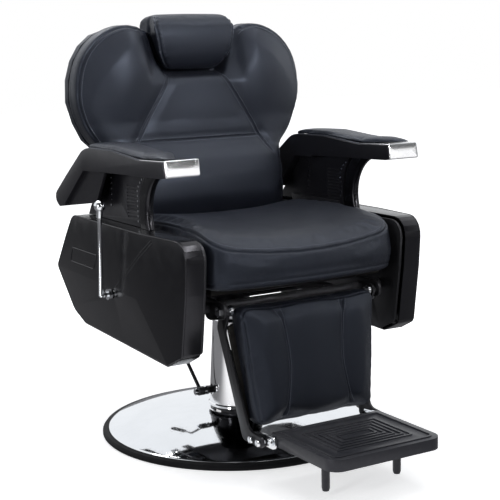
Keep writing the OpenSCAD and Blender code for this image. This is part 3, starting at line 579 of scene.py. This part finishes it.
def stuffed(obj, free, voxel=0.005, cap=0.012):
    """Swells the blank like a filled cover. free(points) says how far each point may move, 0 to 1."""
    having(obj.modifiers.new("remesh", "REMESH"), mode="VOXEL", voxel_size=voxel)
    apply_modifiers(obj)
    ease(obj, 2)
    rest = points_of(obj)
    cloth = obj.modifiers.new("cloth", "CLOTH")
    having(cloth.settings, quality=4, mass=0.15, tension_stiffness=30, compression_stiffness=30,
           shear_stiffness=15, bending_stiffness=2.0, use_pressure=True,
           uniform_pressure_force=SWELL_PRESSURE)
    cloth.settings.effector_weights.gravity = 0
    cloth.collision_settings.use_collision = False
    having(cloth.point_cache, frame_start=1, frame_end=SWELL_FRAMES)
    for f in range(1, SWELL_FRAMES + 1):
        SCENE.frame_set(f)
    apply_modifiers(obj)
    SCENE.frame_set(1)
    moved = points_of(obj) - rest
    far = np.linalg.norm(moved, axis=1)
    moved *= (np.minimum(far, cap) / np.maximum(far, 1e-9) * free(rest))[:, None]
    set_points(obj, rest + moved)
    ease(obj, 3)
    having(obj.modifiers.new("subdivide", "SUBSURF"), levels=1, render_levels=1)
    apply_modifiers(obj)
    obj.data.shade_smooth()
    return obj


def ease(obj, rounds):
    having(obj.modifiers.new("ease", "SMOOTH"), factor=0.5, iterations=rounds)
    apply_modifiers(obj)


def near_line(co, line):
    """Distance of each point from a line of close points, and the line's share at the nearest."""
    tree = KDTree(len(line))
    for i, p in enumerate(line):
        tree.insert(Vector(p), i)
    tree.balance()
    d, share = np.zeros(len(co)), np.zeros(len(co))
    for i, p in enumerate(co):
        _, k, dist = tree.find(Vector(p))
        d[i], share[i] = dist, k / max(1, len(line) - 1)
    return d, share


SEW_STEP = 0.0015


def sew(obj, lines, width=0.0028, depth=0.0030, puff=0.0006, pucker=0.00012, pitch=0.023):
    """Draws the cover in along each sewn line and gathers it beside the line."""
    for line in lines:
        fine = on_surface(tree_of(obj), evenly(line, step=SEW_STEP))[0]
        co, no = points_of(obj), points_of(obj, "normal")
        d, share = near_line(co, fine)
        length = len(fine) * SEW_STEP
        gather = np.sin(share * length / pitch * 2 * math.pi) + 0.6 * np.sin(share * length / pitch * 4.7)
        drop = depth * np.exp(-(d / width) ** 2)
        drop -= puff * np.exp(-((d - 2.6 * width) / (1.6 * width)) ** 2)
        drop -= pucker * gather * np.exp(-((d - 2.2 * width) / (2.0 * width)) ** 2)
        ends = np.clip(np.minimum(share, 1 - share) * length / 0.01, 0, 1)
        set_points(obj, co - no * (drop * np.where(d < 8 * width, ends, 0))[:, None])


def tree_of(obj):
    bm = bmesh.new()
    bm.from_mesh(obj.data)
    tree = BVHTree.FromBMesh(bm)
    bm.free()
    return tree


def on_surface(tree, line):
    places, ups = [], []
    for p in line:
        hit, normal, _, _ = tree.find_nearest(Vector(p))
        places.append(np.array(hit))
        ups.append(np.array(normal))
    return np.array(places), np.array(ups)


STITCH_CUTS = ((-1.0, 0.25), (-0.72, 0.85), (0.0, 1.0), (0.72, 0.85), (1.0, 0.25))
STITCH_SIDES = 6


def stitch(name, carrier, lines, body, pitch=0.0056, long=0.0044, radius=0.00085):
    """Rows of thread stitches that lie on the carrier's surface along the lines."""
    tree = tree_of(carrier)
    threads = []
    for line in lines:
        p, up = on_surface(tree, evenly(line, step=pitch))
        for k in range(len(p) - 1):
            along = p[k + 1] - p[max(k - 1, 0)]
            size = np.linalg.norm(along)
            if size < 1e-6:
                continue
            along = along / size
            across = np.cross(up[k], along)
            at = p[k] + up[k] * radius * 0.35
            threads.append([[at + along * c * long / 2
                             + radius * w * (across * math.cos(a) + up[k] * math.sin(a))
                             for a in turns(STITCH_SIDES)] for c, w in STITCH_CUTS])
    return skins(name, threads, body, THREAD)


def shifted(line, normal, distance):
    """The line moved sideways in the plane that has this normal."""
    line = np.array(line, float)
    return line + np.cross(np.array(normal, float)[None], directions(line)) * distance


def beside(lines, normal, gap):
    """Two rows for each line, one on either side of it."""
    return [shifted(line, normal, off) for line in lines for off in (gap, -gap)]


def cast_on(obj, line, start, way):
    """The line moved along one direction until it lies on the surface. Points that miss it go."""
    tree, way = tree_of(obj), Vector(way)
    hits = [tree.ray_cast(Vector(p) - way * start, way)[0] for p in line]
    return np.array([np.array(hit) for hit in hits if hit is not None])


def laid(obj, line):
    """A line drawn in (x, z), laid on the surface as seen from the front."""
    return cast_on(obj, [(x, 0.0, z) for x, z in line], 1.0, (0, 1, 0))


def finish_soft(obj, body, node):
    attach(obj, body)
    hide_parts(node)


def smoothstep(a, b, x):
    t = np.clip((np.asarray(x, float) - a) / (b - a), 0, 1)
    return t * t * (3 - 2 * t)


def read_off(table, at):
    """The table's value at one place or at many: its rows are (place, value)."""
    return np.interp(at, *zip(*table))


# ---- seat cushion

SEAT_HALF = 0.251
SEAT_FRONT, SEAT_REAR = -0.338, 0.104
SEAT_FLOOR = 0.4385
SEAT_MID_Y = (SEAT_FRONT + SEAT_REAR) / 2
SEAT_SIDE = [(-0.345, 0.553), (-0.314, 0.565), (-0.273, 0.5745), (-0.220, 0.5815), (-0.163, 0.5855),
             (-0.103, 0.585), (-0.045, 0.582), (0.035, 0.5745), (0.106, 0.566)]
SEAT_MID = [(-0.366, 0.529), (-0.330, 0.538), (-0.273, 0.547), (-0.200, 0.553), (-0.100, 0.557),
            (0.0, 0.556), (0.106, 0.552)]
SEAM_DROP = 0.011


def seat_outline():
    corners = [(side * SEAT_HALF, y, r) for side, y, r in (
        (-1, SEAT_REAR, 0.02), (-1, SEAT_FRONT, 0.045), (1, SEAT_FRONT, 0.045), (1, SEAT_REAR, 0.02))]
    p = evenly(round_corners(corners, 8), count=260, closed=True)
    front = smoothstep(0, -0.3, p[:, 1])
    p[:, 1] -= 0.026 * (1 - (p[:, 0] / SEAT_HALF) ** 2) * front
    p[:, 0] *= 1 + 0.010 * np.sin(np.pi * (p[:, 1] - SEAT_FRONT) / (SEAT_REAR - SEAT_FRONT))
    return p


def seat_height(x, y):
    s = min(1.0, abs(x) / SEAT_HALF)
    return read_off(SEAT_MID, y) + (read_off(SEAT_SIDE, y) - read_off(SEAT_MID, y)) * s ** 2.4


def build_seat():
    outline = seat_outline()

    def crown(x, y, k):
        return seat_height(x, y) - SEAM_DROP * k ** 18

    edge = [(0.003, lambda x, y: -(seat_height(x, y) - 0.018)), (0.008, -0.505), (0.010, -0.480),
            (0.006, -0.457), (0.0, -(SEAT_FLOOR + 0.006)), (-0.010, -SEAT_FLOOR)]
    blank = filled_outline("seat_cushion_cover", outline, (0, SEAT_MID_Y), crown, edge,
                           lambda a, b, d: (a, b, -d), HIDE, rings=34)
    cover = stuffed(blank, lambda co: smoothstep(SEAT_FLOOR + 0.004, SEAT_FLOOR + 0.03, co[:, 2])
                    * smoothstep(SEAT_REAR + 0.004, SEAT_REAR - 0.03, co[:, 1]), cap=0.007)
    ring = evenly(closed_up(outline), step=0.004)
    seam = np.array([(x * 1.008, y * 1.008, seat_height(x, y) - SEAM_DROP) for x, y in ring])
    foot = np.array([(x * 1.01, y * 1.01, SEAT_FLOOR + 0.016) for x, y in ring])
    sew(cover, [seam], width=0.0026, depth=0.0030)
    sew(cover, [foot], width=0.003, depth=0.0016, puff=0.0004)
    finish_soft(cover, "seat", "seat_cushion")
    top_row = np.array([(x * 0.982, y * 0.982, seat_height(x, y)) for x, y in ring])
    stitch("seat_top_stitches", cover, [top_row], "seat")


# ---- back cushion

BACK_SEAM_Y = 0.186
BACK_REAR_Y = 0.2455
BACK_MID = (0.0, 0.79)
BACK_HALF = [(0.232, 0.552), (0.235, 0.600), (0.237, 0.650), (0.245, 0.695), (0.262, 0.720), (0.290, 0.746),
             (0.315, 0.790), (0.331, 0.845), (0.3285, 0.900), (0.315, 0.948), (0.291, 0.985), (0.259, 1.013),
             (0.220, 1.031), (0.180, 1.037), (0.148, 1.031), (0.124, 1.016), (0.108, 1.0115), (0.05, 1.0105)]
V_LINE = [(0.073, 0.915), (0.110, 0.857), (0.146, 0.801), (0.186, 0.732), (0.212, 0.690)]
LUMBAR = [(0.502, 0.066), (0.600, 0.066), (0.650, 0.060), (0.690, 0.042), (0.715, 0.021),
          (0.745, 0.007), (0.790, 0.0)]
VALLEY = [(0.904, 0.080), (0.920, 0.0845), (0.936, 0.094), (0.960, 0.1025), (0.990, 0.1105),
          (1.023, 0.117), (1.045, 0.117)]
WAIST_Z, WAIST_HALF = 0.740, 0.183
ROW_GAP, EDGE_ROW = 0.006, 0.972
SEAM_DIP, SEAM_SPREAD = 0.006, 0.014


def back_outline():
    foot = [(0.0, 0.503), (0.10, 0.503), (0.19, 0.5035), (0.218, 0.508), (0.230, 0.522)]
    right = foot + BACK_HALF + [(0.0, 1.0105)]
    left = [(-x, z) for x, z in right[1:-1]][::-1]
    return evenly(smooth_line(right + left, 6, closed=True), count=300, closed=True)


def seam_distance(x, z, line):
    """How far the point is from a line in the face's plane."""
    best = 1e9
    for (ax, az), (bx, bz) in zip(line[:-1], line[1:]):
        dx, dz = bx - ax, bz - az
        t = max(0, min(1, ((x - ax) * dx + (z - az) * dz) / (dx * dx + dz * dz)))
        best = min(best, math.hypot(x - ax - t * dx, z - az - t * dz))
    return best


def back_rise(x, z, k):
    """How far the back's face stands in front of its seam."""
    a = abs(x)
    edge = max(0.0, 1 - k ** 7)
    rise = 0.012 * edge
    # the lobes, the lumbar part and the middle above it
    rise += 0.020 * math.exp(-((a - 0.205) / 0.085) ** 2 - ((z - 0.905) / 0.115) ** 2) * edge
    rise += 0.012 * math.exp(-(x / 0.16) ** 2 - ((z - 0.635) / 0.085) ** 2) * edge
    rise += 0.006 * math.exp(-(x / 0.09) ** 2 - ((z - 0.80) / 0.06) ** 2)
    # the sewn lines
    rise -= SEAM_DIP * math.exp(-(seam_distance(a, z, V_LINE) / SEAM_SPREAD) ** 2)
    if a < 0.19:
        rise -= SEAM_DIP * math.exp(-((z - WAIST_Z) / SEAM_SPREAD) ** 2) * smoothstep(0.205, 0.17, a)
    # the lobes roll back beside the headrest, and its valley is cut between them
    side = read_off(VALLEY, z)
    rise -= 0.024 * smoothstep(side + 0.080, side + 0.008, a) * smoothstep(0.885, 0.955, z)
    valley = smoothstep(side + 0.012, side - 0.002, a) * smoothstep(0.902, 0.916, z)
    rise *= smoothstep(0.52, 0.60, z)
    return rise * (1 - valley) - 0.042 * valley


def build_back():
    outline = back_outline()

    def to_row(x, z, depth):
        front = BACK_SEAM_Y - read_off(LUMBAR, z)
        if depth < 0.9:
            return (x, front + depth, z)
        y = BACK_REAR_Y - (depth - 1) - 0.030 * smoothstep(0.520, 0.504, z)
        return (x, y, max(z, 0.504 + 0.7 * (y - 0.212)))

    edge = [(0.003, 0.008), (0.0055, 0.020), (0.004, 1.016), (0.0, 1.002), (-0.008, 1.0)]

    def rise(x, z, k):
        return back_rise(x, z, k) - 0.006 * k ** 16

    blank = filled_outline("back_cushion_cover", outline, BACK_MID, rise, edge, to_row, HIDE, rings=44)
    cover = stuffed(blank, lambda co: smoothstep(BACK_REAR_Y - 0.002, BACK_REAR_Y - 0.02, co[:, 1])
                    * (1 - smoothstep(0.150, 0.125, np.abs(co[:, 0])) * smoothstep(0.88, 0.91, co[:, 2]))
                    * smoothstep(0.51, 0.60, co[:, 2]), cap=0.007)
    ring = np.array([(x, BACK_SEAM_Y + 0.001 - read_off(LUMBAR, z), z)
                     for x, z in closed_up(outline)
                     if z > 0.56 and not (abs(x) < read_off(VALLEY, z) + 0.01 and z > 0.9)])
    breaks = np.where(np.linalg.norm(np.diff(ring, axis=0), axis=1) > 0.03)[0] + 1
    rings = [r for r in np.split(ring, breaks) if len(r) > 3]
    v_lines = [laid(cover, smooth_line([(s * x, z) for x, z in V_LINE], 10)) for s in (-1, 1)]
    waist = laid(cover, [(x, WAIST_Z) for x in np.linspace(-WAIST_HALF, WAIST_HALF, 60)])
    sew(cover, rings, depth=0.0028)
    sew(cover, v_lines + [waist])
    finish_soft(cover, "backrest", "back_cushion")
    rows = beside(v_lines + [waist], (0, 1, 0), ROW_GAP)
    stitch("back_panel_stitches", cover, rows, "backrest")
    mid_z = BACK_MID[1]
    rows = [[(x * EDGE_ROW, y - ROW_GAP, mid_z + (z - mid_z) * EDGE_ROW) for x, y, z in r] for r in rings]
    stitch("back_edge_stitches", cover, rows, "backrest")


# ---- headrest

PILLOW = [(0.2318, 1.0142), (0.2318, 0.990), (0.2318, 0.960), (0.2290, 0.936), (0.2200, 0.924),
          (0.2080, 0.9195), (0.1950, 0.9225), (0.1840, 0.934), (0.1740, 0.958), (0.1680, 0.985),
          (0.1668, 1.010), (0.1720, 1.034), (0.1850, 1.051), (0.2060, 1.0595), (0.2330, 1.0605),
          (0.2580, 1.0570), (0.2750, 1.0480), (0.2810, 1.0350), (0.2800, 1.0220), (0.2740, 1.0142),
          (0.2560, 1.0142)]
PILLOW_HALF = [(0.918, 0.066), (0.926, 0.078), (0.940, 0.0885), (0.960, 0.097), (0.990, 0.105),
               (1.023, 0.1115), (1.045, 0.111), (1.0605, 0.104)]
PILLOW_MID = (0.222, 0.998)
# the stations of an end: share of the half width, and the section's size there
PILLOW_END = [(1.0, 0.86), (0.99, 0.93), (0.972, 0.965), (0.94, 0.985), (0.88, 0.996)]


def build_headrest():
    """A wedge: it fills the valley between the lobes and reaches back over the back's top."""
    section = np.array(PILLOW)
    mid = np.array(PILLOW_MID)
    stations = [(-a, k) for a, k in PILLOW_END] + [(a, 1.0) for a in np.linspace(-0.8, 0.8, 17)]
    stations += PILLOW_END[::-1]
    rings = []
    for share, k in stations:
        held = np.array([1.0 if 0 < i < 3 else k for i in range(len(section))])[:, None]
        ring = mid + (section - mid) * held
        ring[:, 0] -= 0.003 * (1 - share ** 2) * smoothstep(0.235, 0.205, ring[:, 0])
        rings.append([(share * (read_off(PILLOW_HALF, z) + 0.007 * smoothstep(0.196, 0.176, y)), y, z)
                      for y, z in ring])
    blank = skins("headrest_cover", [rings], None, HIDE)
    cover = stuffed(blank, lambda co: smoothstep(0.231, 0.222, co[:, 1]), voxel=0.004, cap=0.005)
    ends = [smooth_line([(s * (read_off(PILLOW_HALF, z) + 0.002), y - 0.001, z) for y, z in PILLOW[6:14]])
            for s in (-1, 1)]
    sew(cover, ends, width=0.0026, depth=0.0028, puff=0.0008, pucker=0.0005, pitch=0.013)
    finish_soft(cover, "headrest", "headrest_cushion")
    rows = [shifted(line, (0, 1, 0), 0.0045 * s) for line, s in zip(ends, (-1, 1))]
    stitch("headrest_stitches", cover, rows, "headrest", pitch=0.0046, long=0.003)


# ---- leg pad

LEG_TURN = Matrix.Translation((0, -0.350, 0.396)) @ Matrix.Rotation(math.radians(-6.5), 4, "X")
LEG_LEN, LEG_THICK = 0.272, 0.054
LEG_TOP_HALF, LEG_FOOT_HALF = 0.186, 0.158
LEG_SEAM = [(0.091, 0.002), (0.080, -0.06), (0.0735, -0.115), (0.074, -0.160), (0.083, -0.215),
            (0.094, -0.266)]


def leg_place(x, y, z):
    return np.array(LEG_TURN @ Vector((x, y, z)))


def build_leg_pad():
    corners = [(-LEG_TOP_HALF, 0.0, 0.022), (LEG_TOP_HALF, 0.0, 0.022),
               (LEG_FOOT_HALF, -LEG_LEN, 0.020), (-LEG_FOOT_HALF, -LEG_LEN, 0.020)]
    outline = evenly(round_corners(corners, 8), count=220, closed=True)

    def rise(x, z, k):
        r = 0.010 * (1 - k ** 8) + 0.004 * math.exp(-(x / 0.05) ** 2)
        r += 0.004 * math.exp(-((abs(x) - 0.128) / 0.03) ** 2) * (1 - k ** 8)
        return r - 0.005 * math.exp(-(seam_distance(abs(x), z, LEG_SEAM) / 0.010) ** 2)

    edge = [(0.003, 0.008), (0.005, 0.020), (0.0045, 0.034), (0.0, 0.048), (-0.007, LEG_THICK - 0.0005)]
    blank = filled_outline("leg_pad_cover", outline, (0, -LEG_LEN / 2), rise, edge,
                           lambda a, b, d: leg_place(a, 0.006 + d, b), HIDE, rings=26)
    back = np.array(LEG_TURN.inverted())

    def free(co):
        local_y = co @ back[:3, :3].T[:, 1] + back[1, 3]
        return smoothstep(LEG_THICK - 0.002, LEG_THICK - 0.014, local_y)

    cover = stuffed(blank, free, voxel=0.0045, cap=0.007)
    seams = [smooth_line([leg_place(s * x, -0.004, z) for x, z in LEG_SEAM]) for s in (-1, 1)]
    ring = np.array([leg_place(x, 0.008, z) for x, z in closed_up(outline)])
    sew(cover, seams)
    sew(cover, [ring], width=0.003, depth=0.0024)
    finish_soft(cover, "leg_rest", "leg_pad")
    normal = leg_place(0, 1, 0) - leg_place(0, 0, 0)
    stitch("leg_pad_stitches", cover, beside(seams, normal, 0.0055), "leg_rest")


# ---- arm pads

ARM_X = 0.305
ARM_TOP = [(-0.302, 0.7384), (-0.182, 0.7332), (-0.131, 0.7356), (-0.028, 0.7436), (0.090, 0.7416),
           (0.131, 0.7364)]
# place along the arm, half width, crown, and how far the middle stands outward
PAD_LINE = [(-0.296, 0.005, 0.002, 0.024), (-0.280, 0.014, 0.005, 0.020), (-0.258, 0.023, 0.0075, 0.014),
            (-0.222, 0.032, 0.009, 0.006), (-0.182, 0.0375, 0.0095, 0.001), (-0.131, 0.0395, 0.0095, 0.0),
            (-0.060, 0.0405, 0.009, 0.0), (0.0, 0.0405, 0.0085, 0.0), (0.050, 0.0400, 0.008, 0.0),
            (0.090, 0.0385, 0.007, 0.0), (0.112, 0.033, 0.006, 0.0), (0.126, 0.022, 0.004, 0.0)]


# (across, up) in half widths and crowns, once round the pad
PAD_SECTION = [(-1.0, 0.0), (-1.05, 0.28), (-1.0, 0.58), (-0.85, 0.82), (-0.5, 0.98), (0, 1.05), (0.5, 0.98),
               (0.85, 0.82), (1.0, 0.58), (1.05, 0.28), (1.0, 0.0), (0.5, -0.02), (0, -0.02), (-0.5, -0.02)]


def build_arm_pads():
    rings = []
    for y, w, c, out in smooth_line(PAD_LINE, 5):
        base = read_off(ARM_TOP, y) + 0.0006
        rings.append([(-ARM_X - out + a * w, y, base + h * c * 1.15) for a, h in PAD_SECTION])
    blank = skins("arm_pad_right_cover", [rings], None, HIDE)
    cover = stuffed(blank, lambda co: smoothstep(0.0, 0.006, co[:, 2] - read_off(ARM_TOP, co[:, 1])),
                    voxel=0.003, cap=0.003)
    other = mirrored(cover, "arm_pad_left_cover", "seat")
    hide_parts("arm_pad_left")
    finish_soft(cover, "seat", "arm_pad_right")


# ---- hard parts of the frame

FINISHES = {
    "chrome": CHROME, "zinc_steel": ZINC, "black_steel": COAT, "vinyl": HIDE_REAR, "panel_plastic": PANEL,
    "arm_plastic": ARM, "foot_plastic": FOOT, "rubber": RUBBER, "plywood": STAINED}
# by the node's name without its side
SPECIAL = {"arm_post": PANEL, "pump_skirt": SKIRT_CHROME_DARK_REFLECTION}
SOFT_EDGES = {
    "side_panel": 0.0050, "arm_body": 0.006, "arm_frame": 0.0008, "side_plate": 0.0008,
    "leg_bars": 0.0014, "footplate": 0.0016, "footplate_arms": 0.0008, "back_cover": 0.003,
    "leg_hangers": 0.0012, "swivel_plate": 0.0015, "frame_rails": 0.0015, "cross_tubes": 0.0015,
    "push_link": 0.001, "back_straps": 0.001, "gas_bracket": 0.001,
    "seat_board": 0.0015, "back_board": 0.0015, "leg_board": 0.0015}
WELD_GAP, WIDE_EDGE = 0.00001, 0.004
FLAT_ANGLE = math.radians(0.5)
SHARP_ANGLE, PANEL_SHARP_ANGLE, FACET_ANGLE = math.radians(24), math.radians(7), math.radians(32)


def dress_frame():
    slots = {s["node"]: s["material_slot"] for s in frame["record"]["subparts"]}
    for name, node in NODES.items():
        kind = name.removesuffix("_right").removesuffix("_left")
        node.data.materials.clear()
        node.data.materials.append(SPECIAL.get(kind, FINISHES[slots[name]]))
        if node.hide_render:
            continue
        mods = node.modifiers
        having(mods.new("weld", "WELD"), merge_threshold=WELD_GAP)
        if kind in SOFT_EDGES:
            width = SOFT_EDGES[kind]
            having(mods.new("flat", "DECIMATE"), decimate_type="DISSOLVE", angle_limit=FLAT_ANGLE)
            having(mods.new("edge", "BEVEL"), width=width, segments=5 if width > WIDE_EDGE else 3,
                   limit_method="ANGLE", harden_normals=False,
                   angle_limit=PANEL_SHARP_ANGLE if kind == "side_panel" else SHARP_ANGLE)
        node.data.shade_smooth()
        having(mods.new("facets", "EDGE_SPLIT"), split_angle=FACET_ANGLE, use_edge_sharp=False)


PAN_R, PAN_H, PAN_DROP, PAN_FLAT, PAN_T, PAN_BORE = 0.3347, 0.054, 0.0372, 0.060, 0.003, 0.070
PUMP_FOOT = [(0.036, 0.0545), (0.0600, 0.0545), (0.0612, 0.0558), (0.0612, 0.0688), (0.0600, 0.0700),
             (0.036, 0.0700)]


def pan_height(r):
    return PAN_H - PAN_DROP * (max(0.0, r - PAN_FLAT) / (PAN_R - PAN_FLAT)) ** 2.8


def build_base_pan():
    """The plated dome as one smooth turned shell."""
    radii = np.linspace(PAN_BORE, PAN_R - 0.0015, 48)
    top = [(r, pan_height(r)) for r in radii]
    rim = [(PAN_R - 0.0004, pan_height(PAN_R) - 0.0006), (PAN_R, pan_height(PAN_R) - 0.0016)]
    under = [(r, pan_height(r) - PAN_T) for r in radii[::-6]] + [(PAN_BORE, pan_height(PAN_BORE) - PAN_T)]
    pan = lathe("base_pan_shell", top + rim + under, "base", CHROME, steps=192)
    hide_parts("base_pan")
    flange = lathe("pump_foot", PUMP_FOOT, "base", COAT)
    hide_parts("pump_flange")


PANEL_X = 0.30
CAST_START = 0.2
RIDGE = [(-0.212, 0.549), (-0.018, 0.408)]
RIDGE_GAP, RIB_R = 0.0035, 0.0011
PLAQUE = [(0.239, 0.476, 0.006), (0.082, 0.476, 0.006), (0.108, 0.439, 0.006), (0.254, 0.439, 0.006)]


def build_panel_lines():
    """Two raised ribs and the frame of a bare plaque on the outer face of either side panel."""
    (ya, za), (yb, zb) = RIDGE
    along = np.array((yb - ya, zb - za))
    along /= np.linalg.norm(along)
    for side, name in SIDES:
        lines = []
        for gap in (-RIDGE_GAP, RIDGE_GAP):
            off = np.array((-along[1], along[0])) * gap
            lines.append([(side * PANEL_X, ya + off[0] + (yb - ya) * t, za + off[1] + (zb - za) * t)
                          for t in np.linspace(0, 1, 40)])
        frame_line = evenly(round_corners(PLAQUE, 5), step=0.004, closed=True)
        lines.append([(side * PANEL_X, y, z) for y, z in closed_up(frame_line)])
        panel = NODES["side_panel_" + name]
        tubes = [tube(cast_on(panel, line, CAST_START, (-side, 0, 0)), RIB_R, 8) for line in lines]
        skins("side_panel_ribs_" + name, tubes, "seat", PANEL)


def rim_chains(node, least_x, angle):
    """The sharp outer edges of a node, joined up into lines, each point with its outward normal."""
    bm = bmesh.new()
    bm.from_mesh(NODES[node].data)
    bmesh.ops.remove_doubles(bm, verts=bm.verts, dist=WELD_GAP)
    bmesh.ops.dissolve_limit(bm, angle_limit=FLAT_ANGLE, verts=bm.verts, edges=bm.edges)
    bm.normal_update()
    sharp = {e for e in bm.edges if len(e.link_faces) == 2 and e.calc_face_angle(0.0) > math.radians(angle)
             and min(abs(v.co.x) for v in e.verts) > least_x}
    chains = []
    while sharp:
        edge = min(sharp, key=lambda e: e.index)
        sharp.discard(edge)
        run = list(edge.verts)
        for end in (-1, 0):
            while True:
                step = [e for e in run[end].link_edges if e in sharp]
                if len(step) != 1:
                    break
                sharp.discard(step[0])
                beyond = step[0].other_vert(run[end])
                run = run + [beyond] if end else [beyond] + run
        chains.append([(np.array(v.co), np.array(v.normal)) for v in run])
    bm.free()
    return chains


RIM_R, RIM_MIN_X, RIM_MIN_LENGTH, RIM_ANGLE = 0.0024, 0.285, 0.12, 38


def build_panel_rims():
    """Rounds the outline of either side panel with a glossy roll along its outer edges."""
    for _, name in SIDES:
        rolls = []
        for chain in rim_chains("side_panel_" + name, RIM_MIN_X, RIM_ANGLE):
            line = np.array([p - n * RIM_R * 1.05 for p, n in chain])
            if len(line) > 1 and np.linalg.norm(np.diff(line, axis=0), axis=1).sum() > RIM_MIN_LENGTH:
                rolls.append(tube(evenly(line, step=0.005), RIM_R, 12))
        if rolls:
            skins("side_panel_rim_" + name, rolls, "seat", PANEL)


BEAD_R = 0.0020
BEAD_START, BEAD_END, BEAD_LEVEL = 0.205, -0.300, 0.70


def build_arm_beads():
    """Piping along both upper edges of each arm, its hide painted lighter as a painted highlight along each
    edge.
    """
    for side, name in SIDES:
        for x, edge in ((0.3445, "outer"), (0.2655, "inner")):
            line = [(side * x, y, BEAD_LEVEL) for y in np.linspace(BEAD_START, BEAD_END, 90)]
            line = cast_on(NODES["arm_body_" + name], line, CAST_START, (0, 0, -1))
            line[:, 2] += BEAD_R * 0.3
            rings = tube(evenly(line, step=0.005), BEAD_R)
            skins("arm_bead_" + edge + "_" + name, [rings], "seat", PIPING_PAINTED_HIGHLIGHT)


CAP_OUT, CAP_IN, CAP_FOOT, CAP_HEAD = 0.3470, 0.2612, 0.7004, 0.7382
CAP_Y, CAP_BULGE = -0.3112, 0.0011
CAP_MID = (0.3041, 0.7193)
CAP_HALF = (0.0429, 0.0189)
CAP_STEPS = [(0.0, 0.0026), (0.0, 0.0012), (0.0003, 0.0005), (0.0010, 0.0001), (0.0020, 0.0), (0.005, 0.0),
             (0.010, 0.0), (0.017, 0.0)]
CAP_CORNERS = [(CAP_OUT, CAP_FOOT, 0.0045), (CAP_IN, CAP_FOOT, 0.0045), (CAP_IN, CAP_HEAD, 0.0035),
               (CAP_OUT, CAP_HEAD, 0.0035)]
PLATE_FRONT, PLATE_REAR, PLATE_Z = -0.3046, -0.1825, 0.7326
PLATE_MID = (0.3041, -0.2435)
PLATE_HALF = (0.0429, 0.0610)
PLATE_STEPS = [(0.0, 0.0023), (0.0, 0.0007), (0.0003, 0.0002), (0.0008, 0.0), (0.010, 0.0)]
PLATE_CORNERS = [(CAP_OUT, PLATE_FRONT, 0.001), (CAP_IN, PLATE_FRONT, 0.001), (CAP_IN, PLATE_REAR, 0.001),
                 (CAP_OUT, PLATE_REAR, 0.001)]


def drawn_in(outline, mid, half, steps, place):
    """Rings of an outline drawn in toward its middle by steps of (inset, depth)."""
    mid = np.array(mid)
    return [[place(a, b, deep) for a, b in mid + (outline - mid) * (1 - inset / np.array(half))]
            for inset, deep in steps]


def build_arm_caps():
    """A plated face with rounded corners over each arm's front and its thin plate along the top."""
    for side, name in SIDES:
        def on_face(x, z, deep):
            bulge = CAP_BULGE * (1 - ((z - CAP_MID[1]) / CAP_HALF[1]) ** 2)
            return side * x, CAP_Y + (z - CAP_FOOT) / 0.0372 * 0.0062 + deep - bulge, z

        def on_top(x, y, deep):
            return side * x, y, PLATE_Z + (y + 0.182) / -0.123 * 0.0050 - deep

        stacks = [drawn_in(round_corners(CAP_CORNERS), CAP_MID, CAP_HALF, CAP_STEPS, on_face),
                  drawn_in(round_corners(PLATE_CORNERS, 3), PLATE_MID, PLATE_HALF, PLATE_STEPS, on_top)]
        cap = skins("arm_cap_cover_" + name, stacks, "seat", SATIN_CHROME)
        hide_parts("arm_cap_" + name)


# ---- floor

FLOOR_HALF, FLOOR_Z = 14.0, -0.0005


def build_floor():
    floor = piece("studio_floor", [(a * FLOOR_HALF, b * FLOOR_HALF, FLOOR_Z)
                                   for a, b in ((-1, -1), (1, -1), (1, 1), (-1, 1))],
                  [(0, 1, 2, 3)], None, CHROME, smooth=False)
    m, tree, shader = new_material("pale_floor", {
        "Roughness": 0.7, "Specular IOR Level": 0.0, "Emission Color": (0.99, 0.995, 1.0, 1)})
    path = add(tree, "LightPath").outputs
    tone = use(tree, CLOUD_TONE, Scale=1.2, Light=(0.9, 0.9, 0.905, 1), Dark=(0.88, 0.88, 0.885, 1))
    seen = mixed(tree, path["Is Camera Ray"], (0.20, 0.20, 0.21, 1), tone["Color"])
    feed(tree, shader.inputs["Base Color"], seen)
    place = add(tree, "NewGeometry").outputs["Position"]
    reach = add(tree, "VectorMath", {0: place}, operation="LENGTH").outputs["Value"]
    glow = times(tree, path["Is Camera Ray"], ranged(tree, reach, 0.5, 1.7, 0.62, 1.05))
    # painted reflection: mirrors see the floor glowing bright in front of the chair and bright again far
    # off, standing in for a lit studio sweep
    side = add(tree, "SeparateXYZ", {0: place}).outputs
    ahead = ranged(tree, side["Y"], -0.35, 0.25, 1.0, 0.0)
    near = ranged(tree, reach, 1.6, 2.5, 0.85, 0.0)
    near = times(tree, near, ranged(tree, side["X"], 0.0, 0.40, 1.0, 0.05))
    far = ranged(tree, reach, 3.0, 4.0, 0.0, 0.16)
    front = times(tree, plus(tree, near, far), ahead)
    mirror = times(tree, path["Is Glossy Ray"], plus(tree, front, 0.06))
    feed(tree, shader.inputs["Emission Strength"], plus(tree, glow, mirror))
    floor.data.materials.clear()
    floor.data.materials.append(m)


place_camera()
light_the_room()
SCENE.view_settings.view_transform = "Standard"
build_seat()
build_back()
build_headrest()
build_leg_pad()
build_arm_pads()
build_base_pan()
build_panel_lines()
build_panel_rims()
build_arm_beads()
build_arm_caps()
dress_frame()
build_floor()
